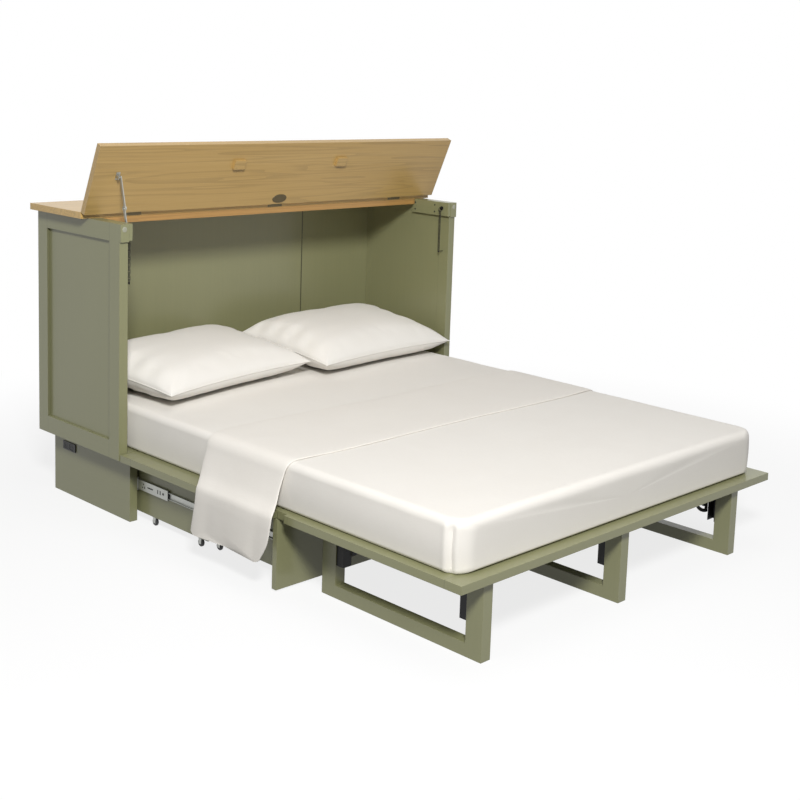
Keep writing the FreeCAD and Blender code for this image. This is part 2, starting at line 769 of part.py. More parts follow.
def build_inner_deck():
    """The cabinet's front panel, lying flat: its outer face is the one below."""
    x = ("-cabinet_width / 2", "cabinet_width / 2")
    depth = (INNER_START, INNER_END)
    board = framed_board("inner", x, depth, 2, "(deck_thickness - deck_panel)", "panel_tongue")
    reach = "(%s + side_top - horn_height - %s - 2)" % (FRONT_AXIS, AXIS_LEVEL)
    corner = brick("horn_rabbet", ("-cabinet_width / 2 - 1", "-%s + cleat_thickness + 2" % INSIDE),
                   (reach, INNER_END + " + 1"), ("deck_top - horn_recess", "deck_top + 1"))
    tools = [corner, mirror("horn_rabbet_right", corner)]
    tools += leaf_beds("inner_head", FRONT_AXIS, 1) + leaf_beds("inner_foot", FOLD_AXIS, 0)
    keep(cut("inner_deck_board", board, tools), "inner_deck_frame")
    keep(deck_panels("inner_fill", x, depth, 2), "inner_deck_panels")
    keep(leaf_row("front_cabinet", FRONT_AXIS, 0), "front_hinge_cabinet_leaves")
    keep(leaf_row("front_deck", FRONT_AXIS, 1), "front_hinge_deck_leaves")
    keep(leaf_row("fold_inner", FOLD_AXIS, 0), "fold_hinge_inner_leaves")
    keep(leaf_row("fold_outer", FOLD_AXIS, 1), "fold_hinge_outer_leaves")


def build_outer_deck():
    """The foot half of the deck, notched at its head corners to pass the cleats."""
    x = ("-" + OUTER_HALF, OUTER_HALF)
    depth = (OUTER_START, "overall_length")
    board = framed_board("outer", x, depth, 3, "(deck_thickness - deck_panel)", "panel_tongue")
    notch = brick("cleat_notch", ("-%s - 1" % OUTER_HALF, "-%s + cleat_thickness + 2" % INSIDE),
                  (OUTER_START + " - 1", OUTER_START + " + cleat_height - 11"),
                  (DECK_BOTTOM + " - 1", "deck_top + 1"))
    tools = leaf_beds("outer_head", FOLD_AXIS, 1) + [notch, mirror("cleat_notch_right", notch)]
    keep(cut("outer_deck_board", board, tools), "outer_deck_frame")
    keep(deck_panels("outer_fill", x, depth, 3), "outer_deck_panels")


# ---------------------------------------------------------------- leg frames

def leg_frame(side):
    """Two legs and the runner that joins them on the floor, drawn as one U."""
    body = solid_body(side + "_frame")
    length = "(leg_end - leg_start)"
    height = "(%s - clearance)" % DECK_BOTTOM
    corner = [("0", "0"), (length, "0"), (length, height), (length + " - leg_width", height),
              (length + " - leg_width", "runner_height"), ("leg_width", "runner_height"),
              ("leg_width", height), ("0", height)]
    pad(body, outline(body, "YZ_Plane", side + "_outline", [corner]), "leg_thickness")
    place(body, side, from_back("leg_end"), "0")
    keep(body, "leg_frame_" + side.split("_")[0])


def near_far(which):
    """A leg's inner edge, and the sign that leads from it into the frame's opening."""
    if which == 0:
        return "(leg_start + leg_width)", 1
    return "(leg_end - leg_width)", -1


def span(edge, sign, low, high):
    """Two rising distances from a leg's inner edge, whichever way its opening lies."""
    near = "%s + %d * (%s)" % (edge, sign, low)
    far = "%s + %d * (%s)" % (edge, sign, high)
    return (near, far) if sign > 0 else (far, near)


PIVOT_LEVEL = "(deck_top - deck_thickness - leg_pivot_drop)"


def leg_arm(name, edge, sign, pivot_x):
    """A channel screwed beside one leg, with the rivet that it turns on."""
    top = PIVOT_LEVEL
    low = "(deck_top - deck_thickness - arm_length)"
    x = (pivot_x + " - leg_thickness + 4", pivot_x)
    level = (low, top)
    near_web = brick(name + "_near_web", x, span(edge, sign, "0", "sector_metal"), level)
    far_web = brick(name + "_far_web", x,
                    span(edge, sign, "arm_channel - sector_metal", "arm_channel"), level)
    back = brick(name + "_back", (x[0], x[0] + " + sector_metal"),
                 span(edge, sign, "0", "arm_channel"), level)
    start = span(edge, sign, "0", "arm_channel")[1]
    eye = rod(name + "_eye", "leg_pin + 2.6", "arm_channel", "y", pivot_x, from_back(start), top)
    pin_start = span(edge, sign, "0", "arm_channel + 2 * sector_metal")[1]
    pin = rod(name + "_pin", "leg_pin", "arm_channel + 2 * sector_metal", "y", pivot_x,
              from_back(pin_start), top)
    return fuse(name, [near_web, far_web, back, eye, pin])


def sector(name, edge, sign, pivot_x):
    """A slotted quarter plate under the deck, with its bored eye and its screwed foot."""
    low = span(edge, sign, "arm_channel + 1", "arm_channel + 1 + sector_metal")[0]
    plate = quarter(name + "_plate", "sector_radius", pivot_x, low, 90, 0)
    neck = brick(name + "_neck", (pivot_x, pivot_x + " + sector_radius - 20"),
                 (low, low + " + sector_metal"), (PIVOT_LEVEL, DECK_BOTTOM))
    eye = rod(name + "_eye", "leg_pivot_drop", "sector_metal", "y", pivot_x,
              from_back(low + " + sector_metal"), PIVOT_LEVEL)
    pad_span = span(edge, sign, "arm_channel + 1", "arm_channel + 1 + bracket_pad")
    foot = brick(name + "_foot", (pivot_x, pivot_x + " + sector_radius - 20"), pad_span,
                 (DECK_BOTTOM + " - sector_metal", DECK_BOTTOM))
    slot = cut(name + "_slot", quarter(name + "_slot_out", "sector_radius - 12", pivot_x, low, 66, 12),
               [quarter(name + "_slot_in", "sector_radius - 20", pivot_x, low, 90, 0)])
    bore = rod(name + "_bore", "leg_pin + clearance", "3 * sector_metal", "y", pivot_x,
               from_back(low + " + 2 * sector_metal"), PIVOT_LEVEL)
    return cut(name, fuse(name + "_outline", [plate, neck, eye, foot]), [slot, bore])


def quarter(name, radius, axis_x, low, sweep, start):
    """A sector of plate that opens from straight across the bed to straight down."""
    plate = doc.addObject("Part::Cylinder", name)
    tie(plate, "Radius", radius)
    tie(plate, "Height", "sector_metal")
    plate.Angle = sweep
    across = FreeCAD.Rotation(Vector(1, 0, 0), -90)
    plate.Placement.Rotation = across.multiply(FreeCAD.Rotation(Vector(0, 0, 1), start))
    place(plate, axis_x, from_back(low + " + sector_metal"), PIVOT_LEVEL)
    return plate


def build_legs():
    """Three leg frames; the right one folds the other way, so its brackets are mirrored."""
    sectors = []
    for side in ("left_leg", "middle_leg", "right_leg"):
        leg_frame(side)
        pivot_x = "(%s + leg_thickness)" % side
        if side == "right_leg":
            pivot_x = "(-right_leg)"
        arms = []
        for which in (0, 1):
            edge, sign = near_far(which)
            arm = leg_arm("%s_arm_%d" % (side, which), edge, sign, pivot_x)
            plate = sector("%s_sector_%d" % (side, which), edge, sign, pivot_x)
            if side == "right_leg":
                arm = mirror(arm.Name + "_right", arm)
                plate = mirror(plate.Name + "_right", plate)
            arms.append(arm)
            sectors.append(plate)
        keep(group(side + "_arms", arms), "leg_hinge_" + side.split("_")[0])
    keep(group("all_sectors", sectors), "leg_brackets")


# ---------------------------------------------------------------- drawer, carriage, slides

PLINTH_INNER = "(plinth_half_width - plinth_wall)"
CARRIAGE_HALF = "(plinth_half_width - plinth_wall - slide_space)"
CARRIAGE_INNER = "(plinth_half_width - plinth_wall - slide_space - carriage_wall)"
DRAWER_HALF = "(plinth_half_width - plinth_wall - 2 * slide_space - carriage_wall)"
DRAWER_INNER = "(plinth_half_width - plinth_wall - 2 * slide_space - carriage_wall - drawer_wall)"
DRAWER_BACK = "(drawer_front_start - drawer_length)"
CARRIAGE_BACK = "(carriage_end - carriage_length)"


def channel(name, x, web_first, height, depth):
    """A slide member: a web and two flanges; web_first puts the web at the lower X."""
    level = ("slide_level - %s / 2" % height, "slide_level + %s / 2" % height)
    bar = brick(name + "_bar", x, depth, level)
    hollow_x = (x[0] + " - 1", x[1] + " - slide_metal")
    if web_first:
        hollow_x = (x[0] + " + slide_metal", x[1] + " + 1")
    hollow = brick(name + "_hollow", hollow_x, (depth[0] + " - 1", depth[1] + " + 1"),
                   (level[0] + " + slide_metal", level[1] + " - slide_metal"))
    return cut(name, bar, [hollow])


def outer_member(name, wall, depth):
    """The wide channel screwed to the wall on a slide's left."""
    return channel(name, ("-" + wall, "-%s + slide_space - 1" % wall), True, "outer_channel", depth)


def middle_member(name, wall, depth):
    x = ("-%s + slide_metal + 0.5" % wall, "-%s + slide_space - slide_metal - 0.5" % wall)
    return channel(name, x, True, "middle_channel", depth)


def inner_member(name, wall, depth):
    """The narrow channel screwed to the wall on a slide's right."""
    x = ("-%s + 2 * slide_metal + 1" % wall, "-%s + slide_space" % wall)
    return channel(name, x, False, "inner_channel", depth)


def both_hands(name, members):
    """The same members on the bed's left and right."""
    return group(name, members + [mirror(member.Name + "_right", member) for member in members])


def build_slides():
    """Two three-part slides in a row on each hand, drawn run out."""
    carriage_depth = (CARRIAGE_BACK, "carriage_end")
    inside_depth = (CARRIAGE_BACK + " + carriage_rail", "carriage_end")
    fixed_depth = ("plinth_depth - carriage_length", "plinth_depth")
    first = ("first_middle_end - slide_length", "first_middle_end")
    second = ("second_middle_end - slide_length", "second_middle_end")
    drawer_depth = (DRAWER_BACK, "drawer_front_start - 1")
    keep(both_hands("fixed_members", [outer_member("fixed_member", PLINTH_INNER, fixed_depth)]),
         "plinth_slides")
    keep(both_hands("first_members", [middle_member("first_member", PLINTH_INNER, first)]),
         "first_slide_middles")
    on_carriage = [inner_member("carriage_outside", PLINTH_INNER, carriage_depth),
                   outer_member("carriage_inside", CARRIAGE_INNER, inside_depth)]
    keep(both_hands("carriage_members", on_carriage), "carriage_slides")
    keep(both_hands("second_members", [middle_member("second_member", CARRIAGE_INNER, second)]),
         "second_slide_middles")
    keep(both_hands("drawer_members", [inner_member("drawer_member", CARRIAGE_INNER, drawer_depth)]),
         "drawer_slides")


def build_carriage():
    """The open frame that runs out between the plinth and the drawer."""
    level = ("wall_bottom", "wall_top")
    wall = brick("carriage_left", ("-" + CARRIAGE_HALF, "-" + CARRIAGE_INNER),
                 (CARRIAGE_BACK, "carriage_end"), level)
    rail = brick("carriage_cross", ("-%s - 1" % CARRIAGE_INNER, CARRIAGE_INNER + " + 1"),
                 (CARRIAGE_BACK, CARRIAGE_BACK + " + carriage_rail"), level)
    keep(fuse("carriage_walls", [wall, mirror("carriage_right", wall), rail]), "carriage_frame")


def build_drawer():
    """Two walls and a back with a grooved-in floor, and the applied front."""
    level = ("wall_bottom", "wall_top")
    wall = brick("drawer_left", ("-" + DRAWER_HALF, "-" + DRAWER_INNER),
                 (DRAWER_BACK, "drawer_front_start"), level)
    back = brick("drawer_rear", ("-%s - 1" % DRAWER_INNER, DRAWER_INNER + " + 1"),
                 (DRAWER_BACK, DRAWER_BACK + " + drawer_wall"), level)
    inner = DRAWER_INNER
    groove = brick("floor_groove", ("-%s - drawer_groove" % inner, "%s + drawer_groove" % inner),
                   (DRAWER_BACK + " + drawer_wall - drawer_groove", "drawer_front_start + 1"),
                   ("floor_level", "floor_level + drawer_floor"))
    box = fuse("drawer_walls", [wall, mirror("drawer_right", wall), back])
    keep(cut("drawer_grooved", box, [groove]), "drawer_box")
    tongue = "(drawer_groove - clearance)"
    keep(brick("drawer_floor_board", ("-%s - %s" % (inner, tongue), "%s + %s" % (inner, tongue)),
               (DRAWER_BACK + " + drawer_wall - " + tongue, "drawer_front_start"),
               ("floor_level", "floor_level + drawer_floor - clearance")), "drawer_bottom")
    keep(brick("front_board", ("-drawer_front_half_width", "drawer_front_half_width"),
               ("drawer_front_start", "drawer_front_start + drawer_front_thickness"),
               ("drawer_front_bottom", "%s - 3" % DECK_BOTTOM)), "drawer_front")


# ---------------------------------------------------------------- casters

def caster_fork(name, x, depth):
    """A plate screwed under a wall with two cheeks and the axle between them."""
    cheek = "(caster_width / 2 + fork_metal / 2)"
    metal = "fork_metal"
    plate = brick(name + "_plate", ("%s - %s - %s" % (x, cheek, metal), "%s + %s + %s" % (x, cheek, metal)),
                  (depth + " - fork_length / 2", depth + " + fork_length / 2"),
                  ("wall_bottom - caster_plate + 0.5", "wall_bottom"))
    sides = []
    for low in ("%s - %s - %s" % (x, cheek, metal), "%s + %s" % (x, cheek)):
        sides.append(brick(name + "_cheek", (low, "%s + %s" % (low, metal)),
                           (depth + " - fork_length / 4", depth + " + fork_length / 4"),
                           ("caster_radius - 4", "wall_bottom - 1")))
    axle = rod(name + "_axle", "caster_axle", "2 * %s + 2" % cheek, "x", "%s - %s - 1" % (x, cheek),
               from_back(depth), "caster_radius")
    return fuse(name, [plate, axle] + sides)


def caster_wheel(name, x, depth):
    """A wheel with softened rims, turned from half of its section."""
    body = solid_body(name)
    half = "(caster_width / 2)"
    bore = "(caster_axle + clearance)"
    profile = [(bore, "-" + half), ("caster_radius - 2", "-" + half), ("caster_radius", "2 - " + half),
               ("caster_radius", half + " - 2"), ("caster_radius - 2", half), (bore, half)]
    revolve(body, outline(body, "XZ_Plane", name + "_section", [profile]), "V_Axis")
    turn(body, (0, 1, 0), "90")
    place(body, x, from_back(depth), "caster_radius")
    return body


def build_casters():
    carriage_x = "(carriage_wall / 2 - %s)" % CARRIAGE_HALF
    drawer_x = "(drawer_wall / 2 - %s)" % DRAWER_HALF
    forks = [caster_fork("rear_fork", carriage_x, "carriage_rear_caster"),
             caster_fork("front_fork", carriage_x, "carriage_front_caster")]
    keep(both_hands("carriage_forks", forks), "carriage_caster_forks")
    keep(both_hands("drawer_forks", [caster_fork("drawer_fork", drawer_x, "drawer_caster")]),
         "drawer_caster_forks")
    wheels = (("rear_wheel", carriage_x, "carriage_rear_caster", "carriage_rear_wheels"),
              ("front_wheel", carriage_x, "carriage_front_caster", "carriage_front_wheels"),
              ("drawer_wheel", drawer_x, "drawer_caster", "drawer_wheels"))
    for name, x, depth, label in wheels:
        keep(both_hands(name + "_pair", [caster_wheel(name, x, depth)]), label)


# ---------------------------------------------------------------- bedding

def box_shape(x, depth, level):
    """A plain block from numbers, with its depth counted from the cabinet's back."""
    middle = size("overall_length") / 2
    corner = Vector(x[0], middle - depth[1], level[0])
    return Part.makeBox(x[1] - x[0], depth[1] - depth[0], level[1] - level[0], corner)


def mattress_block():
    """The three sections together: rounded in plan and softened along every edge."""
    half = size("mattress_half_width")
    bottom = size("deck_top") + size("clearance")
    block = box_shape((-half, half), (size("mattress_start"), size("mattress_end")),
                      (bottom, bottom + size("mattress_thickness")))
    upright = [edge for edge in block.Edges if abs(edge.tangentAt(0).z) > 0.9]
    rounded = block.makeFillet(size("mattress_corner"), upright)
    level = [edge for edge in rounded.Edges if abs(edge.Vertexes[0].Z - edge.Vertexes[-1].Z) < 0.001]
    return rounded.makeFillet(size("mattress_edge"), level)


def build_mattress():
    """Part the block over each row of hinge barrels, with a groove above the barrels."""
    block = mattress_block()
    half = size("mattress_half_width") + 1
    top = size("deck_top")
    gap = size("mattress_seam") / 2
    groove = size("hinge_groove")
    front = size("side_depth") + size("deck_gap") / 2
    fold = front + size("deck_gap") + size("inner_deck_length")
    spans = (("mattress_head", size("mattress_start") - gap, front),
             ("mattress_middle", front, fold),
             ("mattress_foot", fold, size("mattress_end") + gap))
    hollows = [box_shape((-half, half), (axis - groove, axis + groove), (top, top + groove))
               for axis in (front, fold)]
    for label, low, high in spans:
        slab = box_shape((-half, half), (low + gap, high - gap), (top, top + 2 * size("mattress_thickness")))
        section = block.common(slab)
        for hollow in hollows:
            section = section.cut(hollow)
        keep(shaped(label + "_form", section.Solids[0]), label)


def lens(width, front, rear, crest, sag):
    """A pillow's cross-section between its front and rear seams, standing on its length.

    crest and sag are how far its top and its bottom stand from the line of the seams.
    """
    near = Vector(0, -width / 2, front)
    far = Vector(0, width / 2, rear)
    middle = (near + far) / 2 + Vector(0, width * 0.06, 0)
    top = Part.Arc(near, middle + Vector(0, 0, crest), far).toShape()
    bottom = Part.Arc(far, middle - Vector(0, 0, sag), near).toShape()
    return Part.Wire([top, bottom])


def pillow_form(front, rear, crest, sag):
    """Sections swell from a flat end seam to the middle, where the sides are drawn in."""
    length = size("pillow_length")
    wires = []
    for step in (-1, -0.86, -0.5, 0, 0.5, 0.86, 1):
        fill = 0.1 + 0.9 * (1 - abs(step) ** 2.6)
        width = size("pillow_width") * (0.955 + 0.045 * step ** 2)
        wire = lens(width, front, rear, crest * fill, sag * fill)
        wire.translate(Vector(step * length / 2, 0, 0))
        wires.append(wire)
    return Part.makeLoft(wires, True, False)


def build_pillows():
    """Two pillows side by side, each turned a little and propped against the back."""
    middle = size("overall_length") / 2
    level = size("deck_top") + size("mattress_thickness") + 1.5 * size("clearance")
    spots = (("pillow_left", size("left_pillow_middle"), 11, 0.97),
             ("pillow_right", size("right_pillow_middle"), 4.6, 1.03))
    for label, x, yaw, fill in spots:
        form = pillow_form(size("pillow_front_seam") * fill, size("pillow_rear_seam") * fill,
                           size("pillow_crest") * fill, size("pillow_sag") * fill)
        lowest = form.optimalBoundingBox(False).ZMin
        pillow = shaped(label + "_form", form)
        pillow.Placement = FreeCAD.Placement(Vector(x, middle - size("pillow_from_back"), level - lowest),
                                             FreeCAD.Rotation(Vector(0, 0, 1), yaw))
        keep(pillow, label)


def throw_path(grow):
    """The throw's line from its middle to its left hem, grown outward by a distance.

    It runs over the mattress, down to the deck's edge and from there almost straight down.
    """
    top = size("deck_top") + size("mattress_thickness") + 2 * size("clearance")
    edge = size("mattress_half_width")
    side = size("cabinet_width") / 2
    deck = size("deck_top")
    radius = size("mattress_edge")
    shoulder = [Vector(0, 0, top + grow), Vector(1.4 * radius - edge, 0, top + grow)]
    bend = Vector(-edge + radius * 0.25 - grow * 0.7, 0, top - radius * 0.25 + grow * 0.7)
    fall = Vector(-edge - 3 - grow, 0, top - 1.4 * radius)
    break_over = Vector(-side - 1 - grow * 0.92, 0, deck + 2 + grow * 0.35)
    hem = Vector(size("throw_thickness") - size("throw_side_reach") - grow, 0, size("throw_hem"))
    edges = [Part.makeLine(shoulder[0], shoulder[1]), Part.Arc(shoulder[1], bend, fall).toShape(),
             Part.makeLine(fall, break_over), Part.makeLine(break_over, hem)]
    return edges, shoulder[0], hem


def build_throw():
    """A folded blanket laid across the bed, hanging past the deck on both hands."""
    inner, inner_top, inner_hem = throw_path(0)
    outer, outer_top, outer_hem = throw_path(size("throw_thickness"))
    ends = [Part.makeLine(inner_top, outer_top), Part.makeLine(inner_hem, outer_hem)]
    face = Part.Face(Part.Wire(Part.__sortEdges__(inner + outer + ends)))
    width = size("throw_end") - size("throw_start")
    taper = size("throw_taper")
    start = size("overall_length") / 2 - size("throw_end")
    half = face.extrude(Vector(0, width, 0))
    half.translate(Vector(0, start, 0))
    level = size("deck_top") + size("mattress_thickness") - 40
    tools = []
    for near, sign in ((start, -1), (start + width, 1)):
        low = size("throw_hem") - 1
        outside = near + sign
        corners = [Vector(0, outside, level), Vector(0, outside, low), Vector(0, near - taper * sign, low)]
        wedge = Part.Face(Part.makePolygon(corners + [corners[0]]))
        tools.append(wedge.extrude(Vector(-size("cabinet_width"), 0, 0)))
    left = half.cut(tools)
    right = left.mirror(Vector(0, 0, 0), Vector(1, 0, 0))
    keep(shaped("throw_form", left.fuse(right).removeSplitter().Solids[0]), "blanket")


# ---------------------------------------------------------------- whole object

build_sides()
build_back()
build_platform()
build_plinth()
build_top()
build_lid()
build_stay()
build_cleats()
build_pins()
build_chains()
build_inner_deck()
build_outer_deck()
build_legs()
build_slides()
build_carriage()
build_drawer()
build_casters()
build_mattress()
build_pillows()
build_throw()
doc.recompute()

faulty = [thing.Name for thing in doc.Objects if "Invalid" in thing.State or "Error" in thing.State]
if faulty:
    raise RuntimeError("not rebuilt: " + ", ".join(faulty))
for node in nodes:
    if node.Shape.isNull() or not node.Shape.isValid():
        raise RuntimeError("no sound shape: " + node.Label)
for node in nodes:
    node.Shape.exportStep("parts/%s.step" % node.Label)
    box = node.Shape.BoundBox
    print("%-28s %d solids  X %.1f..%.1f  Y %.1f..%.1f  Z %.1f..%.1f" % (
        node.Label, len(node.Shape.Solids), box.XMin, box.XMax, box.YMin, box.YMax, box.ZMin, box.ZMax))
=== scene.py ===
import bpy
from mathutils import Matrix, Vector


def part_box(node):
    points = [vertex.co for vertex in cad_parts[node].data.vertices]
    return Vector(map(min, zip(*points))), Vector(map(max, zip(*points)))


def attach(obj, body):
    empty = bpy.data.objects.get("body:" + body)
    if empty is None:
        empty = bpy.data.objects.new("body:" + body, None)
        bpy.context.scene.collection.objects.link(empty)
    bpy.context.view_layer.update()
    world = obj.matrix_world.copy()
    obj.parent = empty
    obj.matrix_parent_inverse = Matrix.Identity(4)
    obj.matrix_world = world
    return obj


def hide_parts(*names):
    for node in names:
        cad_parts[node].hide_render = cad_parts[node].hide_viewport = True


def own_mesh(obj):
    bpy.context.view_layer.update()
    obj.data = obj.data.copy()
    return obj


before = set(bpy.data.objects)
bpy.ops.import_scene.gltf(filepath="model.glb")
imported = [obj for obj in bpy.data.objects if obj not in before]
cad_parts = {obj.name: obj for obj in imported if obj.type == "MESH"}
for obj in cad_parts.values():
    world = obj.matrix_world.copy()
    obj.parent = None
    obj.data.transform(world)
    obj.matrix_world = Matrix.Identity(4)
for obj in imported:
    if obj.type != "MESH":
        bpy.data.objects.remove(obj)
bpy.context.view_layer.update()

import math

import bpy
import numpy as np
from mathutils import Matrix, Vector

# A cabinet bed opened out. Metres, X across the bed, +Y to the head, Z up. A distance
# "from the back" is counted from the cabinet's rear face toward the foot.

LENGTH = 2.089
DECK_TOP = 0.257
MATTRESS_TOP = 0.4103


def row_y(from_back):
    """The Y of a distance counted from the cabinet's rear face."""
    return LENGTH / 2 - from_back


# ---------------------------------------------------------------- materials

class Value:
    """A number that varies over a surface; arithmetic on it adds Math nodes."""

    def __init__(self, finish, socket):
        self.finish = finish
        self.socket = socket

    def math(self, operation, *values):
        inputs = dict(enumerate(values))
        return self.finish.node("ShaderNodeMath", {"operation": operation}, inputs)

    def __add__(self, other):
        return self.math("ADD", self, other)

    def __radd__(self, other):
        return self.math("ADD", other, self)

    def __sub__(self, other):
        return self.math("SUBTRACT", self, other)

    def __rsub__(self, other):
        return self.math("SUBTRACT", other, self)

    def __mul__(self, other):
        return self.math("MULTIPLY", self, other)

    def __rmul__(self, other):
        return self.math("MULTIPLY", other, self)

    def __gt__(self, other):
        return self.math("GREATER_THAN", self, other)

    def __lt__(self, other):
        return self.math("LESS_THAN", self, other)

    def smooth(self, low, high):
        """Rises from 0 to 1 between two values."""
        return self.finish.node("ShaderNodeMapRange", {"interpolation_type": "SMOOTHSTEP"},
                                {"Value": self, "From Min": low, "From Max": high})

    def largest(self, other):
        return self.math("MAXIMUM", self, other)


class Finish:
    """A node material under construction."""

    def __init__(self, name):
        self.material = bpy.data.materials.new(name)
        self.material.use_nodes = True
        self.tree = self.material.node_tree
        self.shader = self.tree.nodes["Principled BSDF"]

    def node(self, kind, settings=None, inputs=None, out=0):
        """Any node: its settings first, then the values or links of its sockets."""
        made = self.tree.nodes.new(kind)
        for key, value in (settings or {}).items():
            if key == "stops":
                self.set_stops(made.color_ramp, value)
            else:
                setattr(made, key, value)
        for key, value in (inputs or {}).items():
            self.feed(made.inputs[key], value)
        return Value(self, made.outputs[out])

    def set_stops(self, ramp, stops):
        while len(ramp.elements) < len(stops):
            ramp.elements.new(0.5)
        for element, (position, colour) in zip(ramp.elements, stops):
            element.position = position
            element.color = colour + (1,)

    def feed(self, socket, value):
        if isinstance(value, Value):
            self.tree.links.new(value.socket, socket)
        else:
            socket.default_value = value

    def place(self):
        return self.node("ShaderNodeTexCoord", out="Object")

    def axes(self):
        """The X, Y and Z of a point as three values."""
        split = self.tree.nodes.new("ShaderNodeSeparateXYZ")
        self.feed(split.inputs[0], self.place())
        return [Value(self, socket) for socket in split.outputs]

    def joined(self, x, y, z):
        return self.node("ShaderNodeCombineXYZ", inputs={0: x, 1: y, 2: z})

    def noise(self, where, scale, detail=3.0, roughness=0.5, distortion=0.0):
        return self.node("ShaderNodeTexNoise", {"noise_dimensions": "3D"},
                         {"Vector": where, "Scale": scale, "Detail": detail,
                          "Roughness": roughness, "Distortion": distortion})

    def scaled(self, where, x, y, z):
        return self.node("ShaderNodeVectorMath", {"operation": "MULTIPLY"}, {0: where, 1: (x, y, z)})

    def mix(self, share, first, second):
        return self.node("ShaderNodeMix", {"data_type": "RGBA"}, {0: share, 6: first, 7: second}, out=2)

    def darkened(self, colour, share):
        """A colour multiplied by a grey value."""
        grey = self.joined(share, share, share)
        return self.node("ShaderNodeMix", {"data_type": "RGBA", "blend_type": "MULTIPLY"},
                         {0: 1.0, 6: colour, 7: grey}, out=2)

    def near(self, position, at):
        """How far a coordinate is from one value."""
        offset = position - at
        return offset.math("ABSOLUTE", offset)

    def bump(self, height, strength, distance, under=None):
        inputs = {"Height": height, "Strength": strength, "Distance": distance}
        if under is not None:
            inputs["Normal"] = under
        return self.node("ShaderNodeBump", inputs=inputs)

    def shade(self, **sockets):
        """Set or link the shader's own sockets, underscores standing for spaces."""
        for key, value in sockets.items():
            self.feed(self.shader.inputs[key.replace("_", " ")], value)
        return self.material


def rgb(red, green, blue):
    return (red, green, blue, 1.0)


def stretched(finish, where, along, fine, coarse):
    """A point's place squeezed along one axis, so that noise on it draws long streaks."""
    squeeze = [fine, fine, fine]
    squeeze["xyz".index(along)] = coarse
    return finish.scaled(where, *squeeze)


def sage_paint(name, along, across=None, window=None, joint=None):
    """Satin brushed paint, its faint streaks along one axis.

    window is (axis, low, high): between these two values on that axis the board's
    members run across instead of along, and a hair-dark line marks the joints.
    joint is (axis, at, half width) of a dark open joint between two panels.
    """
    finish = Finish(name)
    where = finish.place()
    streak = finish.noise(stretched(finish, where, along, 120.0, 2.5), 1.0, 3.0, 0.6)
    seam = None
    if across:
        other = finish.noise(stretched(finish, where, across, 120.0, 2.5), 1.0, 3.0, 0.6)
        axis, low, high = window
        position = finish.axes()["xyz".index(axis)]
        inside = (position > low) * (position < high)
        streak = inside * other + (1 - inside) * streak
        seam = finish.near(position, low).math("MINIMUM", finish.near(position, low),
                                               finish.near(position, high)) < 0.0007
    cloud = finish.noise(where, 2.3, 2.0, 0.5)
    speck = finish.noise(where, 900.0, 2.0, 0.5)
    tone = finish.node("ShaderNodeValToRGB", {"stops": [
        (0.25, (0.212, 0.212, 0.106)), (0.5, (0.222, 0.222, 0.113)), (0.8, (0.233, 0.234, 0.121))]},
        {0: streak * 0.5 + cloud * 0.5})
    height = streak * 0.8 + speck * 0.2
    if seam is not None:
        tone = finish.darkened(tone, 1 - seam * 0.38)
        height = height - seam * 2.0
    if joint:
        axis, at, half = joint
        line = finish.near(finish.axes()["xyz".index(axis)], at) < half
        tone = finish.darkened(tone, 1 - line * 0.78)
    edges = finish.node("ShaderNodeBevel", {"samples": 4}, {"Radius": 0.0020})
    relief = finish.bump(height, 0.10, 0.0005, under=edges)
    return finish.shade(Base_Color=tone, Roughness=0.40 + 0.08 * streak, Normal=relief,
                        Specular_IOR_Level=0.5, Coat_Weight=0.5, Coat_Roughness=0.20)


def oak(name, painted_light_factor=(1.0, 1.0, 1.0)):
    """Clear-oiled oak with its grain along X.

    Contours of a long stretched noise draw the growth lines, finer stretched noises the
    fibre and the pores, and a few cells of a Voronoi texture the knots.
    """
    finish = Finish(name)
    where = finish.place()
    sway = finish.noise(finish.scaled(where, 0.8, 5.0, 5.0), 1.0, 2.0, 0.5)
    bent = finish.node("ShaderNodeVectorMath", {"operation": "ADD"},
                       {0: where, 1: finish.joined(0.0, sway * 0.05, sway * 0.05)})
    growth = finish.noise(finish.scaled(bent, 0.45, 22.0, 22.0), 1.0, 1.5, 0.45)
    ring = (growth * 9.0).math("FRACT", growth * 9.0)
    line = 1 - ring.smooth(0.0, 0.55)
    broad = finish.noise(finish.scaled(bent, 0.5, 12.0, 12.0), 1.0, 2.0, 0.5)
    fine = finish.noise(finish.scaled(bent, 1.6, 190.0, 190.0), 1.0, 3.0, 0.6)
    fibre = finish.noise(finish.scaled(where, 9.0, 700.0, 700.0), 1.0, 2.0, 0.6)
    pore = fibre.smooth(0.60, 0.72)
    knot = finish.node("ShaderNodeTexVoronoi", {"feature": "F1"},
                       {"Vector": finish.scaled(bent, 1.45, 5.2, 5.2), "Scale": 1.0, "Randomness": 1.0})
    spot = 1 - knot.smooth(0.03, 0.075)
    stops = [(0.25, (0.415, 0.262, 0.082)), (0.5, (0.470, 0.305, 0.102)), (0.75, (0.530, 0.352, 0.130))]
    # The stops are multiplied by a factor: above one it paints light into the oak, below one it paints shade.
    stops = [(at, tuple(part * share for part, share in zip(colour, painted_light_factor))) for at, colour in stops]
    tone = finish.node("ShaderNodeValToRGB", {"stops": stops},
                       {0: broad * 0.35 + fine * 0.40 + fibre * 0.25})
    tone = finish.darkened(tone, 1 - line * 0.15 - pore * 0.14 - spot * 0.5)
    relief = finish.bump(fine * 0.5 - pore * 0.8 - line * 0.3, 0.16, 0.0005,
                         under=finish.node("ShaderNodeBevel", {"samples": 4}, {"Radius": 0.0014}))
    return finish.shade(Base_Color=tone, Roughness=0.46 - 0.08 * fine, Normal=relief,
                        Coat_Weight=0.40, Coat_Roughness=0.22)


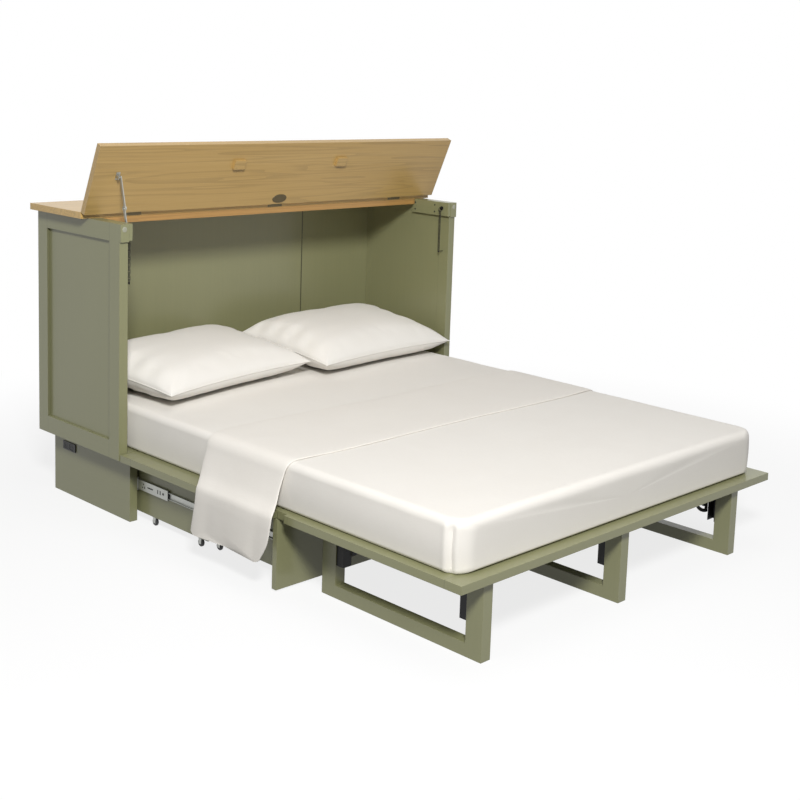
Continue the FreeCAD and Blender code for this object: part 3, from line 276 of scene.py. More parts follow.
def metal(name, colour, roughness, along="y"):
    """Plated or blackened sheet metal with fine rolling lines and faint blotches."""
    finish = Finish(name)
    where = finish.place()
    line = finish.noise(stretched(finish, where, along, 1400.0, 30.0), 1.0, 2.0, 0.6)
    blotch = finish.noise(where, 38.0, 3.0, 0.6)
    low = tuple(0.78 * part for part in colour)
    tone = finish.node("ShaderNodeValToRGB", {"stops": [(0.3, low), (0.75, colour)]},
                       {0: blotch * 0.6 + line * 0.4})
    return finish.shade(Base_Color=tone, Metallic=0.85, Roughness=roughness + 0.16 * blotch,
                        Normal=finish.bump(line, 0.12, 0.0003))


def moulded(name, colour, roughness):
    """Moulded black plastic with a fine pebbled skin."""
    finish = Finish(name)
    where = finish.place()
    pebble = finish.noise(where, 1500.0, 2.0, 0.5)
    cloud = finish.noise(where, 25.0, 2.0, 0.5)
    low = tuple(0.7 * part for part in colour)
    tone = finish.node("ShaderNodeValToRGB", {"stops": [(0.3, low), (0.8, colour)]}, {0: cloud})
    return finish.shade(Base_Color=tone, Roughness=roughness + 0.1 * cloud,
                        Normal=finish.bump(pebble, 0.25, 0.0004))


def cotton(name, light, dark, weave=1500.0, crease=0.5):
    """Warm off-white cotton: a fine plain weave, slack ripples and a soft sheen."""
    finish = Finish(name)
    where = finish.place()
    x, y, z = finish.axes()
    warp = (x * weave * 2.0).math("SINE", x * weave * 2.0)
    weft = (y * weave * 2.0 + z * weave).math("SINE", y * weave * 2.0 + z * weave)
    thread = warp * weft
    slub = finish.noise(finish.scaled(where, 260.0, 60.0, 260.0), 1.0, 3.0, 0.6)
    ripple = finish.noise(where, 7.0, 3.0, 0.45, 0.6)
    fold = finish.noise(finish.scaled(where, 5.0, 2.2, 4.0), 1.0, 2.0, 0.4, 0.8)
    tone = finish.node("ShaderNodeValToRGB", {"stops": [(0.25, dark), (0.75, light)]},
                       {0: ripple * 0.5 + slub * 0.5})
    soft = finish.bump(ripple * 0.6 + fold, crease, 0.006)
    relief = finish.bump(thread * 0.5 + slub, 0.10, 0.0005, under=soft)
    return finish.shade(Base_Color=tone, Roughness=0.86 - 0.06 * slub, Normal=relief,
                        Sheen_Weight=0.18, Sheen_Roughness=0.5, Specular_IOR_Level=0.25)


def dress(material, *nodes):
    """Give CAD nodes a finish through their own material slots."""
    for node in nodes:
        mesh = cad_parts[node].data
        if not mesh.materials:
            mesh.materials.append(material)
        for index in range(len(mesh.materials)):
            mesh.materials[index] = material


# ---------------------------------------------------------------- surfaces

def grid_faces(rows, columns, closed=False):
    """Quads between neighbouring rows and columns; closed joins the last column to the first."""
    index = np.arange(rows * columns).reshape(rows, columns)
    right = np.roll(index, -1, axis=1)
    if not closed:
        index, right = index[:, :-1], right[:, :-1]
    quads = np.stack([index[:-1], right[:-1], right[1:], index[1:]], axis=-1)
    return quads.reshape(-1, 4)


def piece(name, points, faces, material, body=None, tidy=True):
    """A mesh object with its place in its points, its doubles merged and its faces outward."""
    mesh = bpy.data.meshes.new(name)
    mesh.from_pydata(points.reshape(-1, 3).tolist(), [], faces.tolist())
    if tidy:
        merge_and_face_outward(mesh)
    mesh.materials.append(material)
    mesh.shade_smooth()
    mesh.set_sharp_from_angle(angle=math.radians(50))
    made = bpy.data.objects.new(name, mesh)
    bpy.context.scene.collection.objects.link(made)
    if body:
        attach(made, body)
    return made


def merge_and_face_outward(mesh):
    import bmesh
    work = bmesh.new()
    work.from_mesh(mesh)
    bmesh.ops.remove_doubles(work, verts=work.verts, dist=1e-6)
    bmesh.ops.dissolve_degenerate(work, edges=work.edges, dist=1e-7)
    bmesh.ops.recalc_face_normals(work, faces=work.faces)
    work.to_mesh(mesh)
    work.free()


def together(parts):
    """Several (points, faces) in one pair of arrays."""
    points = [part[0].reshape(-1, 3) for part in parts]
    starts = np.cumsum([0] + [len(group) for group in points[:-1]])
    faces = [part[1] + start for part, start in zip(parts, starts)]
    return np.vstack(points), np.vstack(faces)


def turned(profile, centre, axis, steps=24):
    """A half profile of (radius, height) rows carried round an axis through centre."""
    radius, height = np.array(profile, float).T
    axis = np.array(axis, float) / np.linalg.norm(axis)
    side = np.cross(axis, (0.0, 0.0, 1.0) if abs(axis[2]) < 0.9 else (1.0, 0.0, 0.0))
    side /= np.linalg.norm(side)
    other = np.cross(axis, side)
    angle = np.linspace(0, 2 * np.pi, steps, endpoint=False)
    ring = np.cos(angle)[:, None] * side + np.sin(angle)[:, None] * other
    points = (np.array(centre) + radius[:, None, None] * ring[None]
              + height[:, None, None] * axis)
    return points, grid_faces(len(radius), steps, closed=True)


def soft_block(low, high, radius, count=9):
    """A box with rounded edges: a cube's grid pushed to the radius from an inner box."""
    low, high = np.array(low, float), np.array(high, float)
    line = np.tanh(np.linspace(-1, 1, count) * 2.2) / np.tanh(2.2)
    u, v = np.meshgrid(line, line, indexing="ij")
    one = np.ones_like(u)
    sides = []
    for axis in range(3):
        for sign in (-1, 1):
            corner = [None, None, None]
            corner[axis] = sign * one
            corner[(axis + 1) % 3] = u
            corner[(axis + 2) % 3] = v
            cube = np.stack(corner, axis=-1)
            half = (high - low) / 2
            at = cube * half
            core = np.clip(at, -(half - radius), half - radius)
            away = at - core
            length = np.linalg.norm(away, axis=-1, keepdims=True)
            points = core + away / np.maximum(length, 1e-9) * radius + (low + high) / 2
            faces = grid_faces(count, count)
            sides.append((points, faces if sign > 0 else faces[:, ::-1]))
    return together(sides)


def ripple(x, y, seed, size):
    """A smooth random wave: the sum of eight sines with seeded directions and phases."""
    draw = np.random.default_rng(seed)
    total = np.zeros_like(x)
    for order in range(8):
        angle = draw.uniform(0, np.pi)
        wave = 2 * np.pi / (size * draw.uniform(0.5, 1.6))
        phase = draw.uniform(0, 2 * np.pi)
        total += np.sin((x * np.cos(angle) + y * np.sin(angle)) * wave + phase)
    return total / 8


# ---------------------------------------------------------------- mattress

HALF = 0.752
HEAD_END = 0.0365
FOOT_END = 2.0495
FRONT_LINE = 0.532
FOLD_LINE = 1.313
CORNER = 0.070
SHOULDER = 0.026


def mattress_crown(x):
    """How far the top swells: 2.4 mm in the middle, falling with the fourth power to the edge."""
    return 0.0024 * (1 - np.clip(np.abs(x) / HALF, 0, 1) ** 4)


def mattress_section(from_back):
    """Closed cross-sections, one for each distance from the back.

    Each is a rounded rectangle. Within 70 mm of an end its half width draws in on a
    quarter circle, and within 26 mm its top sinks on a smaller one.
    """
    end = np.minimum(from_back - HEAD_END, FOOT_END - from_back)
    inset = CORNER - np.sqrt(CORNER ** 2 - np.clip(CORNER - end, 0, CORNER) ** 2)
    sink = SHOULDER - np.sqrt(SHOULDER ** 2 - np.clip(SHOULDER - end, 0, SHOULDER) ** 2)
    half = (HALF - inset)[:, None]
    top = (MATTRESS_TOP - sink)[:, None]
    bottom = (DECK_TOP + 0.0006 + 0.5 * sink)[:, None]
    curve = np.linspace(0, np.pi / 2, 11)
    side = np.linspace(0, 1, 12)[1:-1]
    flat = np.linspace(-1, 1, 101)[1:-1]
    high, low = SHOULDER, 0.016
    across, level = [], []
    across.append(flat * (half - high))
    level.append(top + 0 * flat)
    across.append(half - high + high * np.sin(curve))
    level.append(top - high + high * np.cos(curve))
    across.append(half + 0.0035 * np.sin(side * np.pi))
    level.append(top - high + side * (bottom + low - top + high))
    across.append(half - low + low * np.cos(curve))
    level.append(bottom + low - low * np.sin(curve))
    across.append(-flat * (half - low))
    level.append(bottom + 0 * flat)
    across.append(-(half - low + low * np.cos(curve[::-1])))
    level.append(bottom + low - low * np.sin(curve[::-1]))
    across.append(-(half + 0.0035 * np.sin(side * np.pi)))
    level.append(bottom + low + side * (top - high - bottom - low))
    across.append(-(half - high + high * np.sin(curve[::-1])))
    level.append(top - high + high * np.cos(curve[::-1]))
    x = np.concatenate([part + 0 * half for part in across], axis=1)
    z = np.concatenate([part + 0 * half for part in level], axis=1)
    return x, z


def slacken(x, depth, z):
    """The fitted sheet's slack: shallow waves on top, upright gathers near the corners.

    A wave of about a millimetre lies over the top; on the sides, waves along the
    edge grow toward the corners, and each foot corner has one narrow pleat.
    """
    up = np.clip((z - 0.385) / 0.02, 0, 1)
    z = z + up * (mattress_crown(x) + 0.0011 * ripple(x, depth, 3, 0.42))
    side = 1 - up
    height = np.clip((z - DECK_TOP) / 0.12, 0, 1)
    to_end = np.minimum(depth - HEAD_END, FOOT_END - depth)
    near = np.exp(-np.clip(to_end, 0, None) / 0.20)
    around = depth + 0.35 * np.abs(x)
    gather = (0.0006 + 0.0016 * near) * ripple(around, z * 0.25, 5, 0.16) * side * height
    reach = np.hypot(np.abs(x) - 0.7438, depth - 2.0124)
    pleat = 0.0075 * np.exp(-(reach / 0.0075) ** 2) * side
    ridge = 0.0034 * np.exp(-((reach - 0.0175) / 0.0075) ** 2) * side
    move = gather - pleat + ridge
    corner = np.clip((depth - (FOOT_END - CORNER)) / CORNER, 0, 1)
    x = x + np.sign(x) * move * (1 - 0.3 * corner)
    depth = depth + move * 0.7 * corner
    return x, depth, z


def closing_rings(x, depth, z, row):
    """An end's cross-section shrunk step by step to its middle, its depth evening out."""
    shrink = np.linspace(1, 0, 9)[1:, None]
    middle = 0.5 * (z[row].max() + z[row].min())
    even = depth[row].mean()
    return x[row] * shrink, depth[row] * shrink + even * (1 - shrink), middle + (z[row] - middle) * shrink


def mattress_part(name, start, end, material):
    """One section: its rows of cross-sections, closed at both ends by shrinking rings."""
    fine = 0.5 * (1 - np.cos(np.linspace(0, np.pi / 2, 16))) * 0.14
    rows = np.arange(start, end, 0.0125)
    if start == HEAD_END:
        rows = np.concatenate([HEAD_END + fine, rows[rows > HEAD_END + 0.071]])
    if end == FOOT_END:
        rows = np.concatenate([rows[rows < FOOT_END - 0.071], FOOT_END - fine[::-1]])
    else:
        rows = np.append(rows, end)
    x, z = mattress_section(rows)
    depth = np.repeat(rows[:, None], x.shape[1], axis=1)
    x, depth, z = slacken(x, depth, z)
    near = closing_rings(x, depth, z, 0)
    far = closing_rings(x, depth, z, -1)
    x = np.concatenate([near[0][::-1], x, far[0]])
    depth = np.concatenate([near[1][::-1], depth, far[1]])
    z = np.concatenate([near[2][::-1], z, far[2]])
    points = np.stack([x, row_y(depth), z], axis=-1)
    return piece(name, points, grid_faces(*x.shape, closed=True), material)


# ---------------------------------------------------------------- pillows

def pillow_sheets(length, width, rise, count=(81, 57)):
    """Two square-cornered sheets sewn at their edges and parted by a full round dome.

    The outline draws in between its corners. Puckers run in from the two short seams
    and, weaker, from the long ones; they die away within a sixth of the pillow.
    """
    u = np.sin(np.linspace(-1, 1, count[0]) * 1.35)[:, None] / math.sin(1.35)
    v = np.sin(np.linspace(-1, 1, count[1]) * 1.35)[None, :] / math.sin(1.35)
    dome = np.sqrt((1 - np.abs(u) ** 3.4) * (1 - np.abs(v) ** 3.0))
    x = u * length / 2 * (1 - 0.045 * (1 - v ** 2))
    y = v * width / 2 * (1 - 0.075 * (1 - u ** 2))
    end = np.exp(-(1 - np.abs(u)) / 0.15) * np.sin(v * 17 + np.sign(u) * 1.3 + 2.2 * v ** 2)
    long_side = np.exp(-(1 - np.abs(v)) / 0.13) * np.sin(u * 23 + np.sign(v)) * np.abs(u) ** 1.5
    pucker = 1 + 0.085 * end + 0.05 * long_side
    upper = np.stack([x + 0 * v, y + 0 * u, rise * dome * pucker], axis=-1)
    lower = np.stack([x + 0 * v, y + 0 * u, -rise * dome * (2 - pucker)], axis=-1)
    faces = grid_faces(*count)
    return together([(upper, faces), (lower, faces[:, ::-1])])


def inflate(made, pressure, frames, most):
    """Fill a sewn shell with air by cloth simulation and return its points, none moved farther than most."""
    start = np.empty(len(made.data.vertices) * 3)
    made.data.vertices.foreach_get("co", start)
    cloth = made.modifiers.new("air", "CLOTH")
    settings = cloth.settings
    settings.quality = 6
    settings.mass = 0.25
    settings.tension_stiffness = 22
    settings.compression_stiffness = 22
    settings.shear_stiffness = 6
    settings.bending_stiffness = 0.35
    settings.use_pressure = True
    settings.uniform_pressure_force = pressure
    settings.effector_weights.gravity = 0
    cloth.collision_settings.use_collision = False
    cloth.point_cache.frame_end = frames
    for number in range(1, frames + 1):
        bpy.context.scene.frame_set(number)
    seen = made.evaluated_get(bpy.context.evaluated_depsgraph_get())
    moved = np.empty(len(seen.data.vertices) * 3)
    seen.data.vertices.foreach_get("co", moved)
    made.modifiers.remove(cloth)
    bpy.context.scene.frame_set(1)
    step = (moved - start).reshape(-1, 3)
    size = np.linalg.norm(step, axis=1, keepdims=True)
    step *= np.minimum(1, most / np.maximum(size, 1e-9))
    return start.reshape(-1, 3) + step


def welt(path, radius):
    """A round cord of one radius carried round a closed path."""
    ahead = np.roll(path, -1, axis=0) - np.roll(path, 1, axis=0)
    ahead /= np.linalg.norm(ahead, axis=1, keepdims=True)
    side = np.cross(ahead, (0.0, 0.0, 1.0))
    side /= np.linalg.norm(side, axis=1, keepdims=True)
    over = np.cross(side, ahead)
    angle = np.linspace(0, 2 * np.pi, 8, endpoint=False)[None, :, None]
    points = path[:, None] + radius * (np.cos(angle) * side[:, None] + np.sin(angle) * over[:, None])
    return points, grid_faces(len(path) + 1, 8, closed=True) % (len(path) * 8)


def make_pillow(name, middle, from_back, yaw, seams, fill, material):
    """One pillow: inflated, scaled to its size, tipped toward the foot and set on the bed.

    seams is the height of its front and rear seams above the mattress. Its underside is
    pressed flat where it would pass the mattress, and a thin welt runs along its seam.
    """
    points, faces = pillow_sheets(0.745, 0.515, 0.078 * fill)
    made = piece(name, points, faces, material)
    rough = np.empty(len(made.data.vertices) * 3)
    made.data.vertices.foreach_get("co", rough)
    rough = rough.reshape(-1, 3)
    points = rough
    points = inflate(made, 4.0 * fill, 20, 0.010)
    seam = np.flatnonzero(np.abs(rough[:, 2]) < 1e-7)
    order = np.arctan2(rough[seam, 1] / 0.2575, rough[seam, 0] / 0.3725)
    seam = seam[np.argsort(order)]
    points = points * ((0.372, 0.245, 0.090 * fill) / np.abs(points).max(axis=0))
    front, rear = seams
    v = points[:, 1] / 0.245
    z = points[:, 2] * (1 + 0.12 * v) + front + (rear - front) * (v + 1) / 2
    floor_level = 0.0022
    z = np.where(z < 0.03, floor_level + 0.0275 * np.exp((z - 0.03) / 0.0275), z)
    cosine, sine = math.cos(math.radians(yaw)), math.sin(math.radians(yaw))
    x = middle + points[:, 0] * cosine - points[:, 1] * sine
    y = row_y(from_back) + points[:, 0] * sine + points[:, 1] * cosine
    z = z + MATTRESS_TOP + mattress_crown(x)
    points = np.stack([x, y, z], axis=1)
    made.data.vertices.foreach_set("co", points.ravel())
    made.data.update()
    piece(name + "_welt", *welt(points[seam], 0.0019), material)
    softer = made.modifiers.new("soft", "SUBSURF")
    softer.levels = softer.render_levels = 1
    return made


# ---------------------------------------------------------------- blanket

BLANKET_PLY = 0.0075


def blanket_path(run):
    """The X and Z of the drape at a distance from the bed's middle.

    Level over the mattress, a rounded shoulder, a slanting fall to the deck's edge and
    an almost upright drop to the hem.
    """
    knots = np.array([
        [0.000, 0.4132], [-0.300, 0.4130], [-0.600, 0.4126], [-0.700, 0.4122],
        [-0.728, 0.4104], [-0.746, 0.4032], [-0.7575, 0.3880], [-0.7640, 0.3680],
        [-0.7790, 0.3260], [-0.7960, 0.2880], [-0.8080, 0.2700], [-0.8178, 0.2560],
        [-0.8215, 0.2360], [-0.8240, 0.2000], [-0.8262, 0.1500], [-0.8275, 0.1020]])
    at = np.concatenate([[0], np.cumsum(np.linalg.norm(np.diff(knots, axis=0), axis=1))])
    away = np.abs(run)
    return -np.sign(run) * hermite(at, knots[:, 0], away), hermite(at, knots[:, 1], away)


def hermite(at, value, where):
    """Cubic between knots, with each knot's slope the mean of its neighbours' slopes."""
    slope = np.gradient(value, at)
    index = np.clip(np.searchsorted(at, where) - 1, 0, len(at) - 2)
    span = at[index + 1] - at[index]
    t = (where - at[index]) / span
    return ((2 * t ** 3 - 3 * t ** 2 + 1) * value[index] + (t ** 3 - 2 * t ** 2 + t) * span * slope[index]
            + (3 * t ** 2 - 2 * t ** 3) * value[index + 1] + (t ** 3 - t ** 2) * span * slope[index + 1])


def blanket_surface():
    """Top and under faces of the folded blanket on one closed loop of rows.

    A row goes round the folded strip; rows follow the path from hem to hem. Both long
    edges wander as the knots say, and the hems arch up between their corners: past the
    deck's edge a row's distance is scaled so that it ends on the arch.
    """
    full = 1.0675
    bend = 0.900
    rows = np.linspace(-full, full, 301)
    around = np.linspace(0, 2 * np.pi, 96, endpoint=False)
    flat = np.sign(np.cos(around)) * np.abs(np.cos(around)) ** 0.30
    thick = np.sign(np.sin(around)) * np.abs(np.sin(around)) ** 0.55
    along = 0.5 * (1 - np.cos((flat + 1) / 2 * np.pi)) * 0.25 + (flat + 1) / 2 * 0.75
    far = np.abs(rows)
    reach = np.array([0.0, 0.730, 0.779, 0.832, 0.872, 0.911, 0.957, 1.009, full])
    head = np.array([0.958, 0.950, 0.957, 0.962, 0.971, 0.983, 0.985, 0.979, 0.971])
    foot = np.array([1.352, 1.348, 1.342, 1.340, 1.346, 1.354, 1.352, 1.342, 1.312])
    start = hermite(reach, head, far) + 0.002 * ripple(rows, 0 * rows, 21, 0.6)
    end = hermite(reach, foot, far) + 0.001 * ripple(rows, 0 * rows, 22, 0.6)
    depth = start[:, None] + (end - start)[:, None] * along[None, :]
    share = np.array([0.0, 0.06, 0.14, 0.30, 0.45, 0.58, 0.72, 0.86, 0.95, 1.0])
    stop = np.array([0.016, 0.004, 0.014, 0.034, 0.041, 0.040, 0.027, 0.010, 0.003, 0.013])
    arch = full - hermite(share, stop, along)
    past = np.clip(far - bend, 0, None)[:, None] / (full - bend) * (arch - bend)[None, :]
    run = np.sign(rows)[:, None] * (np.minimum(far, bend)[:, None] + past)
    x, z = blanket_path(run)
    step = np.gradient(rows)[:, None]
    slope_x, slope_z = np.gradient(x, axis=0) / step, np.gradient(z, axis=0) / step
    length = np.hypot(slope_x, slope_z)
    out_x, out_z = -slope_z / length, slope_x / length
    fall = np.clip((0.41 - z) / 0.31, 0, 1)
    wave = 0.0050 * fall ** 1.2 * np.sin(depth * 2 * np.pi / 0.24 + np.sign(rows)[:, None] * 0.8 + 2.0)
    wave = wave + 0.0008 * ripple(run, depth, 23, 0.35)
    lift = BLANKET_PLY / 2 * thick[None, :] + BLANKET_PLY / 2 + np.maximum(wave, -0.001)
    return np.stack([x + out_x * lift, row_y(depth), z - 0.0015 + out_z * lift], axis=-1)


def make_blanket(material):
    points = blanket_surface()
    rows, columns = points.shape[:2]
    shrink = np.array([0.6, 0.25, 0.0])[:, None, None]
    caps = []
    for row, direction in ((0, -1), (-1, 1)):
        ring = points[row][None]
        centre = ring.mean(axis=1, keepdims=True)
        caps.append(centre + (ring - centre) * shrink + np.array([0, 0, -0.002]) * (1 - shrink))
    points = np.concatenate([caps[0][::-1], points, caps[1]])
    return piece("folded_blanket", points, grid_faces(len(points), columns, closed=True), material)


# ---------------------------------------------------------------- small fittings

LID_HINGE = (0.3385, 1.0686)
LID_ANGLE = math.radians(66.6)
LID_UNDER = -0.0213


def on_lid(x, along, height):
    """A point given along the lid from its hinge and above its hinge line, lid raised."""
    cosine, sine = math.cos(LID_ANGLE), math.sin(LID_ANGLE)
    depth = LID_HINGE[0] + along * cosine - height * sine
    level = LID_HINGE[1] + along * sine + height * cosine
    return np.stack([x + 0 * along, row_y(depth), level], axis=-1)


def make_oval_plate(material):
    """A plain oval disc under the lid: ellipses that rise 2 mm and round over to the middle."""
    angle = np.linspace(0, 2 * np.pi, 48, endpoint=False)[None, :]
    rings = np.array([[0.0, 0.0], [0.98, 0.0], [1.0, 0.0006], [0.985, 0.0016], [0.93, 0.0021],
                      [0.86, 0.0019], [0.5, 0.0019], [0.0, 0.0019]])
    share, drop = rings[:, :1], rings[:, 1:]
    x = -0.004 + 0.0345 * share * np.cos(angle)
    along = 0.026 + 0.0185 * share * np.sin(angle)
    points = on_lid(x, along, LID_UNDER + 0.0001 - drop + 0 * angle)
    return piece("lid_oval_plate", points, grid_faces(len(rings), 48, closed=True), material, "lid")


def screw_head(centre, axis, radius=0.0042):
    """A raised screw head: a low dome that dips to a driver's recess in its middle."""
    profile = [(0.0, -0.0004), (radius, -0.0004), (radius, 0.0003), (radius * 0.82, 0.0011),
               (radius * 0.45, 0.0014), (radius * 0.34, 0.0003), (0.0, 0.0001)]
    return turned(profile, centre, axis, 16)


def make_screws(name, places, axis, body, material, radius=0.0042):
    points, faces = together([screw_head(place, axis, radius) for place in places])
    return piece(name, points, faces, material, body)


def make_bolt_caps(material):
    """A low round cap on each horn's front face."""
    profile = [(0.0, -0.0004), (0.0090, -0.0004), (0.0092, 0.0004), (0.0084, 0.0009),
               (0.0050, 0.0011), (0.0, 0.0011)]
    for hand, sign in (("left", -1), ("right", 1)):
        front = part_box(hand + "_side_frame")[0][1]
        points, faces = turned(profile, (sign * 0.8010, front, 1.029), (0, -1, 0), 32)
        piece("bolt_cap_" + hand, points, faces, material, "cabinet")


def oval_link(middle, along, across, inner, wire):
    """A ring of round wire carried round a stretched loop: two half circles and two straights."""
    angle = np.linspace(0, 2 * np.pi, 20, endpoint=False)
    straight = inner * 0.9
    path = (np.cos(angle)[:, None] * across * inner * 0.72
            + (np.sin(angle) * inner * 0.72 + np.sign(np.sin(angle)) * straight)[:, None] * along)
    outward = np.cos(angle)[:, None] * across + np.sin(angle)[:, None] * along
    third = np.cross(along, across)
    turn = np.linspace(0, 2 * np.pi, 8, endpoint=False)
    points = (middle + path[:, None, :] + wire * (np.cos(turn)[None, :, None] * outward[:, None, :]
                                                  + np.sin(turn)[None, :, None] * third))
    faces = grid_faces(21, 8, closed=True) % (20 * 8)
    return points, faces


def make_chain(name, node, body, material, sign):
    """Oval links hanging in a row, turned a quarter from one to the next, and the screw."""
    low, high = (np.array(corner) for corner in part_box(node))
    middle = np.array([sign * 0.7582, (low[1] + high[1]) / 2, 0.0])
    top, foot = high[2] - 0.0012, low[2] + 0.0035
    count = 15
    pitch = (top - foot) / count
    links = []
    for index in range(count):
        level = top - pitch * (index + 0.5)
        across = np.array([0.0, 1.0, 0.0]) if index % 2 == 0 else np.array([1.0, 0.0, 0.0])
        links.append(oval_link(middle + (0, 0, level), np.array([0.0, 0.0, 1.0]), across,
                               pitch * 0.5, 0.00095))
    shank = [(0.0, 0.0), (0.0016, 0.0), (0.0016, 0.0235), (0.0036, 0.0240), (0.0036, 0.0256),
             (0.0022, 0.0268), (0.0, 0.0270)]
    centre = (sign * 0.7825, middle[1], foot + 0.001)
    links.append(turned(shank, centre, (-sign, 0, 0), 16))
    points, faces = together(links)
    made = piece(name, points, faces, material, body)
    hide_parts(node)
    return made


def slide_fittings(node, body, mouth, holes):
    """Slots in a slide member's outer web, near-black blocks that paint the shade inside the holes, and the
    black stop at its mouth.

    holes are (distance from the back, height offset, half length, half height).
    """
    outer = abs(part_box(node)[0][0])
    slots, stops = [], []
    for sign in (-1, 1):
        for depth, up, long, tall in holes:
            at = np.array([sign * outer, row_y(depth), 0.132 + up])
            reach = np.array([0.0004, long, tall])
            slots.append(soft_block(at - reach, at + reach, 0.00035, 7))
        at = np.array([sign * (outer - 0.0040), row_y(mouth - 0.0072), 0.132])
        reach = np.array([0.0034, 0.0070, 0.0150])
        stops.append(soft_block(at - reach, at + reach, 0.0016, 7))
    piece(node + "_slots", *together(slots), hole_painted_shade, body)
    piece(node + "_stops", *together(stops), black_plastic, body)


def make_outlet_faces(material, slots):
    """Two plain outlet faces in the plate, each a rounded block with three slots, near-black blocks that
    paint the shade inside the holes.
    """
    faces, holes = [], []
    for offset in (-0.017, 0.017):
        middle = np.array([-0.7625, row_y(0.118 + offset), 0.182])
        faces.append(soft_block(middle - (0.0008, 0.0118, 0.0092), middle + (0.0008, 0.0118, 0.0092),
                                0.0007, 7))
        for along, level, tall in ((-0.0045, 0.001, 0.0036), (0.0045, 0.001, 0.0030), (0.0, -0.0055, 0.0014)):
            at = middle + (-0.0008, along, level)
            holes.append(soft_block(at - (0.0004, 0.0007, tall), at + (0.0004, 0.0007, tall), 0.0003, 5))
    piece("outlet_faces", *together(faces), material, "cabinet")
    piece("outlet_slots", *together(holes), slots, "cabinet")


# ---------------------------------------------------------------- the bed

upright = sage_paint("sage_upright", "z")
back_boards = sage_paint("sage_back_boards", "z", joint=("x", 0.4031, 0.0026))
lengthwise = sage_paint("sage_lengthwise", "y")
crosswise = sage_paint("sage_crosswise", "x")
side_frame = sage_paint("sage_side_frame", "z", "y", ("y", row_y(0.466), row_y(0.062)))
inner_frame = sage_paint("sage_inner_frame", "x", "y", ("y", row_y(1.247), row_y(0.598)))
outer_frame = sage_paint("sage_outer_frame", "x", "y", ("y", row_y(2.027), row_y(1.379)))
oak_lid = oak("oak_lid")
# The fixed top's oak is a lighter copy of the lid's: painted light for the bright light on its upward face.
oak_top_painted_light = oak("oak_top_painted_light", (1.30, 1.30, 1.25))
# The rail's oak is a darker copy: painted shade for the shade it lies in under the fixed top.
oak_rail_painted_shade = oak("oak_rail_painted_shade", (0.92, 0.78, 0.66))
zinc = metal("zinc_plate", (0.52, 0.53, 0.50), 0.30)
blackened = metal("blackened_steel", (0.035, 0.035, 0.036), 0.42, "z")
bronze = metal("dark_bronze", (0.16, 0.13, 0.075), 0.36, "x")
black_plastic = moulded("black_plastic", (0.022, 0.022, 0.023), 0.42)
# Near-black for the slots: painted shade inside holes that are not cut.
hole_painted_shade = moulded("slot_painted_shade", (0.004, 0.004, 0.004), 0.7)
nylon = moulded("wheel_nylon", (0.028, 0.028, 0.030), 0.36)
pale_cap = moulded("pale_cap", (0.46, 0.46, 0.36), 0.40)
sheet_cotton = cotton("fitted_sheet", (0.800, 0.772, 0.722), (0.772, 0.740, 0.688), crease=0.16)
pillow_cotton = cotton("pillow_cotton", (0.800, 0.778, 0.735), (0.775, 0.750, 0.702), crease=0.30)
blanket_cotton = cotton("blanket_cotton", (0.790, 0.758, 0.706), (0.760, 0.724, 0.668), 1100.0, 0.14)

dress(side_frame, "left_side_frame", "right_side_frame")
dress(upright, "left_side_panel", "right_side_panel", "leg_frame_left", "leg_frame_middle",
      "leg_frame_right")
dress(back_boards, "back_panel_wide", "back_panel_narrow")
dress(crosswise, "platform", "inner_deck_panels", "outer_deck_panels", "drawer_front", "drawer_bottom")
dress(lengthwise, "plinth", "cleat_left", "cleat_right", "carriage_frame", "drawer_box")
dress(inner_frame, "inner_deck_frame")
dress(outer_frame, "outer_deck_frame")
dress(oak_top_painted_light, "fixed_top")
dress(oak_lid, "lid", "lid_stop_blocks")
dress(black_plastic, "power_outlet")
dress(zinc, "plinth_slides", "first_slide_middles", "carriage_slides", "second_slide_middles",
      "drawer_slides", "stay_side_bracket", "stay_lid_bracket", "stay_upper_arm", "stay_lower_arm",
      "front_hinge_cabinet_leaves",
      "front_hinge_deck_leaves", "fold_hinge_inner_leaves", "fold_hinge_outer_leaves",
      "carriage_caster_forks", "drawer_caster_forks")
dress(blackened, "safety_pin_left", "safety_pin_right", "leg_hinge_left", "leg_hinge_middle",
      "leg_hinge_right", "leg_brackets")
# The top hinge leaves take the dark bronze so that they sink into the shaded gap between top and lid: their
# darkness is partly the metal's and partly painted shade.
dress(bronze, "top_hinge_fixed_leaves", "top_hinge_lid_leaves")
dress(nylon, "carriage_rear_wheels", "carriage_front_wheels", "drawer_wheels")

# The mattress's three sections ride on the cabinet, the inner deck and the outer deck; the pillows ride on
# the cabinet and the blanket on the inner deck.
head = mattress_part("mattress_sheet_head", HEAD_END, FRONT_LINE, sheet_cotton)
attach(head, "cabinet")
row_y(HEAD_END)
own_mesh(head)
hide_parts("mattress_head")
middle = mattress_part("mattress_sheet_middle", FRONT_LINE, FOLD_LINE, sheet_cotton)
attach(middle, "inner_deck")
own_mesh(middle)
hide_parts("mattress_middle")
foot = mattress_part("mattress_sheet_foot", FOLD_LINE, FOOT_END, sheet_cotton)
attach(foot, "outer_deck")
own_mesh(foot)
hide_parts("mattress_foot")

for label, across, yaw, seams, fill in (("pillow_left", -0.372, 10.0, (0.056, 0.098), 0.97),
                                        ("pillow_right", 0.384, 4.6, (0.056, 0.106), 1.03)):
    pillow = make_pillow("cotton_" + label, across, 0.351, yaw, seams, fill, pillow_cotton)
    for soft in (pillow, bpy.data.objects["cotton_" + label + "_welt"]):
        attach(soft, "cabinet")
        row_y(0.06)
        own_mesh(soft)
    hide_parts(label)

blanket = make_blanket(blanket_cotton)
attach(blanket, "inner_deck")
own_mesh(blanket)
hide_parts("blanket")
